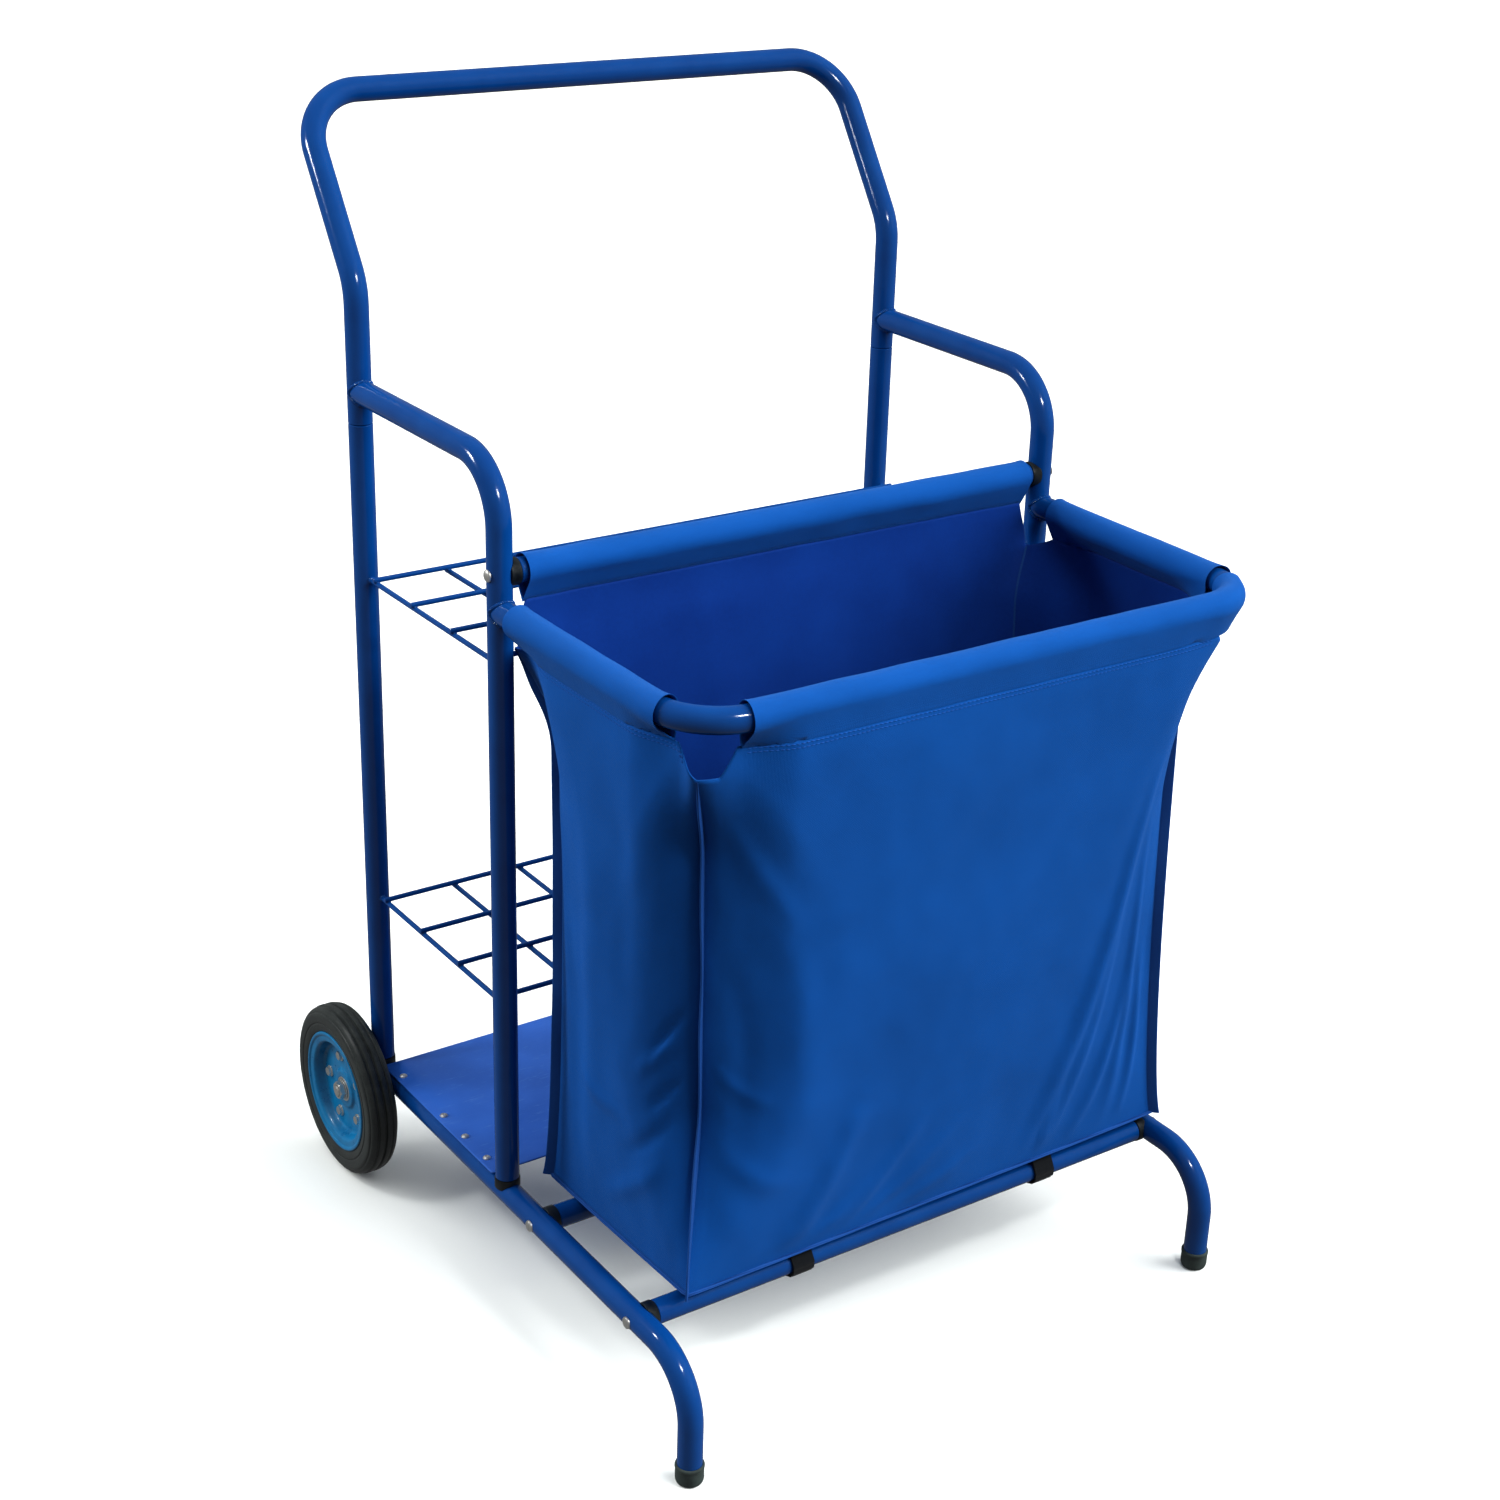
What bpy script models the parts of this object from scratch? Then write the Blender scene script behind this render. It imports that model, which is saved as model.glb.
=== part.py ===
"""Equipment cart of bent steel tube, with a rack for bats, a hanging bag and two wheels.

Metres. +X is the right side of the cart as seen from the front of the photograph's view, +Y points
to the back, where the wheels and the handle are, and +Z is up. The origin is on the ground, in the
middle of the cart's length and width.
"""
import math

import bmesh
import bpy
from mathutils import Matrix, Quaternion, Vector

for old in list(bpy.data.objects):
    bpy.data.objects.remove(old, do_unlink=True)

# Fits
GAP = 0.0003            # between pieces that touch
BORE_PLAY = 0.0003      # round a bolt, a spigot or a plug
RUNNING_PLAY = 0.00008  # radial, between the axle and a turning hub

# Tube
TUBE_D = 0.0254
TUBE_WALL = 0.0016
BEND_R = 0.0635         # centre line of every bend
TUBE_SIDES = 12
BEND_STEP = math.radians(18)

# Frame, centre lines
HALF_TRACK = 0.332      # from the middle to each side's tubes
UPRIGHT_PITCH = 0.290   # rear upright to front upright
RAIL_Z = 0.1285
RAIL_TAIL = 0.045       # rail behind the rear upright
FOOT_REACH = 0.357      # front foot ahead of the front upright
ARM_Z = 0.9225
HANDLE_JOINT_Z = 0.889
LEAN_START_Z = 1.030
HANDLE_TOP_Z = 1.201
HANDLE_SETBACK = 0.116
SPIGOT_LENGTH = 0.045

# Front foot
FOOT_CAP_D = 0.0295
FOOT_CAP_HEIGHT = 0.022
FOOT_CAP_FLOOR = 0.003
FOOT_CAP_CHAMFER = 0.002

# Rail end plug
PLUG_DEPTH = 0.016
PLUG_HEAD = 0.003

# Saddles and bolts where one tube ends on another
SADDLE_D = 0.027
SADDLE_WEB = 0.005      # plastic between the two tubes
SADDLE_WING = 0.006     # how far the saddle reaches down the sides of the tube it sits on
BOLT_D = 0.006
BOLT_HEAD_D = 0.014
BOLT_HEAD_HEIGHT = 0.004
BOLT_ENGAGEMENT = 0.016
BOLT_SIDES = 8

# Cross bars: how far ahead of the front upright
MIDDLE_BAR_REACH = 0.069
FRONT_BAR_REACH = 0.260
BACK_BAR_Z = 0.816

# Bag ring
RING_REACH = 0.336
RING_Z = 0.779

# Bat floor plate
PLATE_THICKNESS = 0.002
PLATE_SIDE = 0.009      # plate beyond the rail's centre line
PLATE_CLEARANCE = 0.017 # from each upright's centre line
PLATE_CORNER_R = 0.004
RIVET_SETBACKS = (0.050, 0.147, 0.196, 0.245)
RIVET_D = 0.009
RIVET_HEIGHT = 0.0025
RIVET_SIDES = 8

# Wire grids
WIRE_D = 0.0055
WIRE_SIDES = 6
WIRE_LAP = 0.2          # share of the wire sunk into the crossing wire by the weld
GRID_COLUMNS = 8
GRID_ROWS = 3
GRID_BACK_SETBACK = 0.026
GRID_FRONT_SETBACK = 0.279
LOWER_GRID_Z = 0.3535
UPPER_GUARD_Z = 0.725

# Wheels
WHEEL_D = 0.200
AXLE_SETBACK = 0.026
AXLE_D = 0.0127
WHEEL_STANDOFF = 0.0035 # tyre from the side of the rail
TYRE_WIDTH = 0.036
TYRE_SIDES = 24
TREAD_GROOVE = 0.0025
TREAD_SHOULDER = 0.005
RIM_LIP_D = 0.140
RIM_WELL_D = 0.118
RIM_SHEET = 0.0022
RIM_FLANGE_SHARE = 0.80 # flange's place, as a share of the tyre's half width
RIM_SIDES = 24
RIM_BOLT_HEAD_D = 0.011
RIM_BOLT_CIRCLE = 0.080
RIM_BOLT_COUNT = 5
RIM_BOLT_FIRST = math.radians(14)
HUB_D = 0.030
HUB_WAIST_D = 0.024     # between the bosses, through both rim halves
HUB_OUTER = 0.0055      # hub's ends from the wheel's middle plane
HUB_INNER = 0.0165
WASHER_D = 0.024
WASHER_THICKNESS = 0.0012
SPACER_D = 0.020
NUT_FLATS = 0.019
NUT_THICKNESS = 0.006
AXLE_END = 0.0015       # axle beyond the nut
BRACKET_THICKNESS = 0.006
BRACKET_LENGTH = 0.034
BRACKET_ROUND_R = 0.016
BRACKET_ROUND_STEPS = 10
HEXAGON_SIDES = 6

# Bag and its straps
SLEEVE_WALL = 0.0025
SLEEVE_END = 0.012      # sleeve beyond the bend's tangent point
SLEEVE_REAR_GAP = 0.022 # side sleeve from the front upright's centre line
BACK_SLEEVE_GAP = 0.006 # back sleeve from the saddles of its bar
BAG_WALL = 0.0025
BAG_CROWN = 0.007       # how far the middle of each panel stands out
WALL_IN_SLEEVE = 0.0015 # wall's upper edge starts this far inside the sleeve's end
SEAM_REACH = 0.060      # how far from an upright seam its pull shows at the mouth,
SEAM_REACH_SWELL = 0.085    # how much farther at mid height
SEAM_REACH_FLOOR = 0.040    # and how much farther at the floor
PULL_FALL_OFF = 1.8     # power by which the pull dies away from the seam
PULL_START = 0.05       # share of the height above the mouth where it would be nought
PULL_FADE = 0.7         # power by which it dies away down to the floor
MITRE_LIMIT = 0.5       # least cosine that a wall's offset is divided by
CORNER_CLEAR = 0.10     # where a panel's upper edge is out of reach of the open corner
FRONT_LEFT_FLOOR = (0.050, 0.064)   # corner on the floor, from the rims' corner above it
FRONT_LEFT_DRAWN = (0.036, 0.038)   # how far its upright seam is drawn in
FRONT_LEFT_NOTCH = 0.057            # from the ring's centre line down to the seam's start
FRONT_RIGHT_FLOOR = (0.000, 0.066)
FRONT_RIGHT_DRAWN = (-0.076, 0.030)
FRONT_RIGHT_NOTCH = 0.055
REAR_RIGHT_FLOOR = (-0.010, -0.020)
REAR_RIGHT_DRAWN = (-0.034, -0.012)
REAR_RIGHT_NOTCH = 0.041
REAR_LEFT_FLOOR = (0.043, -0.020)
REAR_LEFT_DRAWN = (0.054, 0.002)
REAR_LEFT_NOTCH = 0.089
STRAP_THICKNESS = 0.0015
STRAP_WIDTH = 0.026
STRAP_OFFSETS = (-0.145, 0.173)
STRAP_SIDES = 12

# Places that follow from the sizes above
TUBE_R = TUBE_D / 2
BACK_EXTENT = max(HANDLE_SETBACK + TUBE_R, AXLE_SETBACK + WHEEL_D / 2)
FRONT_EXTENT = UPRIGHT_PITCH + FOOT_REACH + FOOT_CAP_D / 2
REAR_Y = (FRONT_EXTENT - BACK_EXTENT) / 2
FRONT_Y = REAR_Y - UPRIGHT_PITCH
FOOT_Y = FRONT_Y - FOOT_REACH
RING_FRONT_Y = FRONT_Y - RING_REACH
RAIL_END_Y = REAR_Y + RAIL_TAIL
AXLE_Y = REAR_Y + AXLE_SETBACK
AXLE_Z = WHEEL_D / 2
WHEEL_X = HALF_TRACK + TUBE_R + WHEEL_STANDOFF + TYRE_WIDTH / 2
SEAT = TUBE_R + SADDLE_WEB + 2 * GAP    # from a tube's centre line to the end of what stands on it
UPRIGHT_FOOT_Z = RAIL_Z + SEAT
SIDES = (("left", -1), ("right", 1))


def material(name, hex_colour, roughness, metallic=0.0):
    """Plain finish of one sub-part, its colour given as sRGB hex."""
    channels = [int(hex_colour[i:i + 2], 16) / 255 for i in (1, 3, 5)]
    linear = [c / 12.92 if c <= 0.04045 else ((c + 0.055) / 1.055) ** 2.4 for c in channels]
    made = bpy.data.materials.new(name)
    made.use_nodes = True
    shader = made.node_tree.nodes["Principled BSDF"]
    shader.inputs["Base Color"].default_value = (*linear, 1)
    shader.inputs["Roughness"].default_value = roughness
    shader.inputs["Metallic"].default_value = metallic
    made.diffuse_color = (*linear, 1)
    return made


POWDER_COAT = material("blue_powder_coat", "#0B4A9C", 0.25)
SHEET_COAT = material("blue_sheet_coat", "#2F5BA8", 0.35)
RIM_COAT = material("light_blue_rim_coat", "#2A7CB8", 0.35)
BLACK_PLASTIC = material("black_plastic", "#1B1E20", 0.5)
BLACK_RUBBER = material("black_rubber", "#2B332F", 0.7)
TYRE_RUBBER = material("grey_rubber", "#2F3436", 0.75)
ZINC_STEEL = material("zinc_plated_steel", "#B9BDC1", 0.3, 1.0)
NYLON = material("blue_nylon", "#1048A0", 0.8)
HOOK_AND_LOOP = material("black_hook_and_loop", "#141517", 0.9)


def finish(name, mesh_data, coat, location=(0, 0, 0), rotation=(0, 0, 0)):
    """Put a finished bmesh into the scene as a named object."""
    bmesh.ops.recalc_face_normals(mesh_data, faces=mesh_data.faces[:])
    mesh = bpy.data.meshes.new(name)
    mesh_data.to_mesh(mesh)
    mesh_data.free()
    mesh.shade_smooth()
    mesh.set_sharp_from_angle(angle=math.radians(35))
    made = bpy.data.objects.new(name, mesh)
    bpy.context.scene.collection.objects.link(made)
    made.location = location
    made.rotation_euler = rotation
    made.data.materials.append(coat)
    return made


def cutter(mesh_data, location=(0, 0, 0), rotation=(0, 0, 0)):
    """A shape that only cuts or joins others, and is no piece of the cart."""
    tool = finish("shape_tool", mesh_data, POWDER_COAT, location, rotation)
    tool.hide_render = True
    tool.display_type = "WIRE"
    return tool


def apply_boolean(target, tool, operation="DIFFERENCE"):
    step = target.modifiers.new(operation.lower(), "BOOLEAN")
    step.operation = operation
    step.object = tool
    step.solver = "EXACT"


def bent_path(corners, radius=BEND_R):
    """Centre line of a bent tube: straight runs between corners, each corner an arc."""
    path = [Vector(corners[0])]
    for before, corner, after in zip(corners, corners[1:], corners[2:]):
        corner = Vector(corner)
        incoming = (corner - Vector(before)).normalized()
        outgoing = (Vector(after) - corner).normalized()
        turn = incoming.angle(outgoing)
        start = corner - incoming * radius * math.tan(turn / 2)
        centre = corner + (outgoing - incoming).normalized() * radius / math.cos(turn / 2)
        axis = incoming.cross(outgoing).normalized()
        steps = max(2, round(turn / BEND_STEP))
        for k in range(steps + 1):
            path.append(centre + Quaternion(axis, turn * k / steps) @ (start - centre))
    path.append(Vector(corners[-1]))
    return path


def add_sweep(mesh_data, path, diameter, sides):
    """Round bar along a path, its ends square to it, added to a bmesh."""
    path = [Vector(point) for point in path]
    runs = [(b - a).normalized() for a, b in zip(path, path[1:])]
    headings = [(a + b).normalized() for a, b in zip([runs[0]] + runs, runs + [runs[-1]])]
    normal = Vector((0, 0, 1)) if abs(headings[0].x) > 0.5 else Vector((1, 0, 0))
    rings = []
    for point, heading in zip(path, headings):
        normal = (normal - heading * normal.dot(heading)).normalized()
        across = heading.cross(normal)
        ring = []
        for k in range(sides):
            angle = math.tau * k / sides
            offset = normal * math.cos(angle) + across * math.sin(angle)
            ring.append(mesh_data.verts.new(point + offset * diameter / 2))
        rings.append(ring)
    for lower, upper in zip(rings, rings[1:]):
        for k in range(sides):
            n = (k + 1) % sides
            mesh_data.faces.new((lower[k], lower[n], upper[n], upper[k]))
    mesh_data.faces.new(rings[0][::-1])
    mesh_data.faces.new(rings[-1])


def sweep(path, diameter=TUBE_D, sides=TUBE_SIDES):
    mesh_data = bmesh.new()
    add_sweep(mesh_data, path, diameter, sides)
    return mesh_data


def clearance(path, diameter=TUBE_D, sides=TUBE_SIDES):
    """Cutter that leaves the touching gap all round a tube on this path."""
    return cutter(sweep(path, diameter + 2 * GAP, sides))


def add_turned(mesh_data, profile, sides, closed=False, place=Matrix.Identity(4)):
    """Solid turned about local Z from (radius, height) points, added to a bmesh.

    An open profile starts and ends on the axis. A closed one is a ring's section.
    """
    rings = []
    for radius, height in profile:
        if radius == 0:
            rings.append([mesh_data.verts.new(place @ Vector((0, 0, height)))])
            continue
        ring = []
        for k in range(sides):
            angle = math.tau * k / sides
            point = Vector((radius * math.cos(angle), radius * math.sin(angle), height))
            ring.append(mesh_data.verts.new(place @ point))
        rings.append(ring)
    pairs = list(zip(rings, rings[1:]))
    if closed:
        pairs.append((rings[-1], rings[0]))
    for lower, upper in pairs:
        for k in range(sides):
            n = (k + 1) % sides
            corners = [lower[k % len(lower)], lower[n % len(lower)]]
            corners += [upper[n % len(upper)], upper[k % len(upper)]]
            mesh_data.faces.new(list(dict.fromkeys(corners)))


def turned(profile, sides, closed=False):
    mesh_data = bmesh.new()
    add_turned(mesh_data, profile, sides, closed)
    return mesh_data


def box(low, high):
    mesh_data = bmesh.new()
    size = Vector(high) - Vector(low)
    middle = (Vector(high) + Vector(low)) / 2
    bmesh.ops.create_cube(mesh_data, size=1, matrix=Matrix.Translation(middle) @ Matrix.Diagonal((*size, 1)))
    return mesh_data


def along(axis, sign=1):
    """Euler rotation that turns local Z to an axis of the cart."""
    if axis == "X":
        return (0, sign * math.pi / 2, 0)
    return (0, 0, 0)


# Frame tubes

def side_x(sign):
    return sign * HALF_TRACK


def handle_corners():
    """Centre line of the handle from one leg's end to the other's."""
    left, right = side_x(-1), side_x(1)
    top_y = REAR_Y + HANDLE_SETBACK
    leg_end_z = HANDLE_JOINT_Z + GAP
    return [
        (left, REAR_Y, leg_end_z), (left, REAR_Y, LEAN_START_Z), (left, top_y, HANDLE_TOP_Z),
        (right, top_y, HANDLE_TOP_Z), (right, REAR_Y, LEAN_START_Z), (right, REAR_Y, leg_end_z)]


def hoop_corners(sign):
    """Arm and front upright, from inside the handle's leg to the rail."""
    x = side_x(sign)
    return [(x, REAR_Y, ARM_Z), (x, FRONT_Y, ARM_Z), (x, FRONT_Y, UPRIGHT_FOOT_Z)]


def rail_corners(sign):
    x = side_x(sign)
    return [(x, RAIL_END_Y, RAIL_Z), (x, FOOT_Y, RAIL_Z), (x, FOOT_Y, FOOT_CAP_FLOOR + GAP)]


def ring_corners():
    left, right = side_x(-1), side_x(1)
    return [(left, FRONT_Y, RING_Z), (left, RING_FRONT_Y, RING_Z),
            (right, RING_FRONT_Y, RING_Z), (right, FRONT_Y, RING_Z)]


TUBE_BORE = TUBE_D - 2 * TUBE_WALL
BOLT_BORE = BOLT_D + 2 * BORE_PLAY


def handle_tube():
    """U-shaped handle, its legs bored from below for the spigots."""
    made = finish("handle_tube", sweep(bent_path(handle_corners())), POWDER_COAT)
    bores = bmesh.new()
    for _, sign in SIDES:
        low = Vector((side_x(sign), REAR_Y, HANDLE_JOINT_Z - GAP))
        high = low + Vector((0, 0, SPIGOT_LENGTH + 3 * GAP + BORE_PLAY))
        add_sweep(bores, [low, high], TUBE_BORE, TUBE_SIDES)
    apply_boolean(made, cutter(bores))


def rear_upright(side, sign):
    """Straight tube with a spigot at its head and a bolt bore in its foot."""
    height = HANDLE_JOINT_Z - UPRIGHT_FOOT_Z
    spigot_r = TUBE_BORE / 2 - BORE_PLAY
    bore_r = BOLT_BORE / 2
    bore_top = BOLT_ENGAGEMENT + BORE_PLAY
    profile = [
        (0, bore_top), (bore_r, bore_top), (bore_r, 0), (TUBE_R, 0), (TUBE_R, height),
        (spigot_r, height), (spigot_r, height + SPIGOT_LENGTH), (0, height + SPIGOT_LENGTH)]
    finish(f"rear_upright_{side}", turned(profile, TUBE_SIDES), POWDER_COAT,
           (side_x(sign), REAR_Y, UPRIGHT_FOOT_Z))


def side_hoop(side, sign):
    """Arm coped to the handle's leg, bent down into the front upright."""
    x = side_x(sign)
    made = finish(f"side_hoop_{side}", sweep(bent_path(hoop_corners(sign))), POWDER_COAT)
    apply_boolean(made, clearance([(x, REAR_Y, ARM_Z - BEND_R), (x, REAR_Y, ARM_Z + BEND_R)]))
    holes = bmesh.new()
    add_sweep(holes, [(x, FRONT_Y, UPRIGHT_FOOT_Z - GAP),
                      (x, FRONT_Y, UPRIGHT_FOOT_Z + BOLT_ENGAGEMENT + BORE_PLAY)],
              BOLT_BORE, BOLT_SIDES)
    add_sweep(holes, [(x - TUBE_D, FRONT_Y, BACK_BAR_Z), (x + TUBE_D, FRONT_Y, BACK_BAR_Z)],
              BOLT_BORE, BOLT_SIDES)
    apply_boolean(made, cutter(holes))


def base_rail(side, sign):
    """Rail from the plugged back end to the front foot, drilled for its bolts."""
    x = side_x(sign)
    made = finish(f"base_rail_{side}", sweep(bent_path(rail_corners(sign))), POWDER_COAT)
    holes = bmesh.new()
    add_sweep(holes, [(x, RAIL_END_Y - PLUG_DEPTH - BORE_PLAY, RAIL_Z), (x, RAIL_END_Y + GAP, RAIL_Z)],
              TUBE_BORE, TUBE_SIDES)
    for y in (REAR_Y, FRONT_Y):
        add_sweep(holes, [(x, y, RAIL_Z - TUBE_D), (x, y, RAIL_Z + TUBE_D)], BOLT_BORE, BOLT_SIDES)
    for reach in (MIDDLE_BAR_REACH, FRONT_BAR_REACH):
        y = FRONT_Y - reach
        add_sweep(holes, [(x - TUBE_D, y, RAIL_Z), (x + TUBE_D, y, RAIL_Z)], BOLT_BORE, BOLT_SIDES)
    apply_boolean(made, cutter(holes))


def bag_ring():
    """U of tube round the bag's mouth, its ends coped to the front uprights."""
    made = finish("bag_ring", sweep(bent_path(ring_corners())), POWDER_COAT)
    for _, sign in SIDES:
        x = side_x(sign)
        apply_boolean(made, clearance([(x, FRONT_Y, RING_Z - BEND_R), (x, FRONT_Y, RING_Z + BEND_R)]))


def foot_cap(side, sign):
    """Rubber cup pushed over the front foot."""
    outer_r = FOOT_CAP_D / 2
    bore_r = TUBE_R + GAP
    profile = [
        (0, 0), (outer_r - FOOT_CAP_CHAMFER, 0), (outer_r, FOOT_CAP_CHAMFER),
        (outer_r, FOOT_CAP_HEIGHT), (bore_r, FOOT_CAP_HEIGHT), (bore_r, FOOT_CAP_FLOOR),
        (0, FOOT_CAP_FLOOR)]
    finish(f"foot_cap_{side}", turned(profile, TUBE_SIDES), BLACK_RUBBER, (side_x(sign), FOOT_Y, 0))


def rail_end_plug(side, sign):
    """Domed plastic plug in the rail's open back end."""
    stem_r = TUBE_BORE / 2 - BORE_PLAY
    edge = PLUG_HEAD / 3
    shoulder_r = TUBE_R * 0.8
    crown = PLUG_HEAD * 1.2
    profile = [
        (0, -PLUG_DEPTH), (stem_r, -PLUG_DEPTH), (stem_r, GAP), (TUBE_R, GAP),
        (TUBE_R, edge), (shoulder_r, PLUG_HEAD), (0, crown)]
    finish(f"rail_end_plug_{side}", turned(profile, TUBE_SIDES), BLACK_PLASTIC,
           (side_x(sign), RAIL_END_Y, RAIL_Z), (-math.pi / 2, 0, 0))


# Cross bars, saddles and bolts

def cross_bar(name, y, z):
    """Straight tube between the two sides, with a bolt bore in each end."""
    half = HALF_TRACK - SEAT
    bore_r = BOLT_BORE / 2
    bore_end = half - BOLT_ENGAGEMENT - BORE_PLAY
    profile = [
        (0, -bore_end), (bore_r, -bore_end), (bore_r, -half), (TUBE_R, -half),
        (TUBE_R, half), (bore_r, half), (bore_r, bore_end), (0, bore_end)]
    finish(name, turned(profile, TUBE_SIDES), POWDER_COAT, (0, y, z), along("X"))


def saddle(name, place, rotation, tube_run):
    """Plastic collar that seats the end of one tube on the side of another.

    Its local origin is on the centre line of the tube it sits on, and local Z points along
    the tube that stands on it.
    """
    low, high = TUBE_R - SADDLE_WING, TUBE_R + SADDLE_WEB + GAP
    profile = [(BOLT_BORE / 2, low), (SADDLE_D / 2, low), (SADDLE_D / 2, high), (BOLT_BORE / 2, high)]
    made = finish(name, turned(profile, TUBE_SIDES, closed=True), BLACK_PLASTIC, place, rotation)
    start = Vector(place) - Vector(tube_run) * SADDLE_D
    end = Vector(place) + Vector(tube_run) * SADDLE_D
    apply_boolean(made, clearance([start, end]))


def bolt(name, place, rotation):
    """Dome-head bolt through a tube and its saddle into the end of the next tube.

    The local frame is the saddle's.
    """
    shank_r = BOLT_D / 2
    head_r = BOLT_HEAD_D / 2
    under_head = -TUBE_R - GAP
    brim = under_head - BOLT_HEAD_HEIGHT * 0.25
    dome_r = head_r * 0.6
    dome = under_head - BOLT_HEAD_HEIGHT * 0.85
    tip = SEAT + BOLT_ENGAGEMENT
    profile = [
        (0, under_head - BOLT_HEAD_HEIGHT), (dome_r, dome), (head_r, brim), (head_r, under_head),
        (shank_r, under_head), (shank_r, tip), (0, tip)]
    finish(name, turned(profile, BOLT_SIDES), ZINC_STEEL, place, rotation)


def bolted_joints():
    """Saddle and bolt at each end of the cross bars and under each upright."""
    rail_run = (0, 1, 0)
    upright_run = (0, 0, 1)
    bars = (
        ("front_bar", FRONT_Y - FRONT_BAR_REACH, RAIL_Z, rail_run),
        ("middle_bar", FRONT_Y - MIDDLE_BAR_REACH, RAIL_Z, rail_run),
        ("back_bar", FRONT_Y, BACK_BAR_Z, upright_run))
    for side, sign in SIDES:
        for bar, y, z, run in bars:
            place = (side_x(sign), y, z)
            inwards = along("X", -sign)
            saddle(f"{bar}_saddle_{side}", place, inwards, run)
            bolt(f"{bar}_bolt_{side}", place, inwards)
        for upright, y in (("rear", REAR_Y), ("front", FRONT_Y)):
            place = (side_x(sign), y, RAIL_Z)
            saddle(f"{upright}_upright_saddle_{side}", place, along("Z"), rail_run)
            bolt(f"{upright}_upright_bolt_{side}", place, along("Z"))


# Rack for the bats

def bat_floor_plate():
    """Sheet on top of the rails, riveted down along each."""
    bottom = RAIL_Z + TUBE_R + GAP
    top = bottom + PLATE_THICKNESS
    half = HALF_TRACK + PLATE_SIDE
    sheet = box((-half, FRONT_Y + PLATE_CLEARANCE, bottom), (half, REAR_Y - PLATE_CLEARANCE, top))
    upright_edges = [e for e in sheet.edges if abs((e.verts[0].co - e.verts[1].co).normalized().z) > 0.9]
    bmesh.ops.bevel(sheet, geom=upright_edges, offset=PLATE_CORNER_R, segments=3, profile=0.5, affect="EDGES")
    made = finish("bat_floor_plate", sheet, SHEET_COAT)
    heads = bmesh.new()
    head_r = RIVET_D / 2
    dome_r = head_r * 0.6
    sunk = top - PLATE_THICKNESS / 2
    brim = top + RIVET_HEIGHT * 0.3
    dome = top + RIVET_HEIGHT * 0.85
    profile = [(0, sunk), (head_r, sunk), (head_r, brim), (dome_r, dome), (0, top + RIVET_HEIGHT)]
    for _, sign in SIDES:
        for setback in RIVET_SETBACKS:
            place = Matrix.Translation((side_x(sign), REAR_Y - setback, 0))
            add_turned(heads, profile, RIVET_SIDES, place=place)
    apply_boolean(made, cutter(heads), "UNION")


def wire_grid(name, z):
    """Welded wire grid between the four uprights, its wires coped to them."""
    offset = WIRE_D * (1 - WIRE_LAP) / 2
    back = REAR_Y - GRID_BACK_SETBACK
    front = REAR_Y - GRID_FRONT_SETBACK
    across = bmesh.new()
    for row in range(GRID_ROWS + 1):
        y = back + (front - back) * row / GRID_ROWS
        add_sweep(across, [(-HALF_TRACK - WIRE_D, y, z + offset), (HALF_TRACK + WIRE_D, y, z + offset)],
                  WIRE_D, WIRE_SIDES)
    lengthwise = bmesh.new()
    for column in range(GRID_COLUMNS + 1):
        x = HALF_TRACK * (2 * column / GRID_COLUMNS - 1)
        at_side = column in (0, GRID_COLUMNS)
        ends = (REAR_Y, FRONT_Y) if at_side else (back + WIRE_D, front - WIRE_D)
        add_sweep(lengthwise, [(x, ends[0], z - offset), (x, ends[1], z - offset)], WIRE_D, WIRE_SIDES)
    made = finish(name, across, POWDER_COAT)
    apply_boolean(made, cutter(lengthwise), "UNION")
    posts = bmesh.new()
    for _, sign in SIDES:
        for y in (REAR_Y, FRONT_Y):
            x = side_x(sign)
            add_sweep(posts, [(x, y, z - TUBE_D), (x, y, z + TUBE_D)], TUBE_D + 2 * GAP, TUBE_SIDES)
    apply_boolean(made, cutter(posts))


# Wheels and axle

def axle():
    """One bar from wheel to wheel, held in the brackets by the nuts."""
    half = WHEEL_X + HUB_OUTER + 2 * GAP + WASHER_THICKNESS + NUT_THICKNESS + AXLE_END
    chamfer = AXLE_END / 2
    radius = AXLE_D / 2
    profile = [(0, -half), (radius - chamfer, -half), (radius, -half + chamfer),
               (radius, half - chamfer), (radius - chamfer, half), (0, half)]
    finish("axle", turned(profile, TUBE_SIDES), ZINC_STEEL, (0, AXLE_Y, AXLE_Z), along("X"))


def axle_bracket(side, sign):
    """Plate welded under the rail's back end, rounded about the axle's hole."""
    top = RAIL_Z - TUBE_R - GAP - AXLE_Z
    half = BRACKET_LENGTH / 2
    outline = [(half, top), (-half, top)]
    for k in range(BRACKET_ROUND_STEPS + 1):
        angle = math.pi + math.pi * k / BRACKET_ROUND_STEPS
        outline.append((BRACKET_ROUND_R * math.cos(angle), BRACKET_ROUND_R * math.sin(angle)))
    plate = bmesh.new()
    face = plate.faces.new([plate.verts.new((-BRACKET_THICKNESS / 2, y, z)) for y, z in outline])
    grown = bmesh.ops.extrude_face_region(plate, geom=[face])
    moved = [v for v in grown["geom"] if isinstance(v, bmesh.types.BMVert)]
    bmesh.ops.translate(plate, vec=(BRACKET_THICKNESS, 0, 0), verts=moved)
    place = (side_x(sign), AXLE_Y, AXLE_Z)
    made = finish(f"axle_bracket_{side}", plate, POWDER_COAT, place)
    x = side_x(sign)
    hole = [(x - BRACKET_THICKNESS, AXLE_Y, AXLE_Z), (x + BRACKET_THICKNESS, AXLE_Y, AXLE_Z)]
    apply_boolean(made, cutter(sweep(hole, AXLE_D + 2 * BORE_PLAY)))


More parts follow.
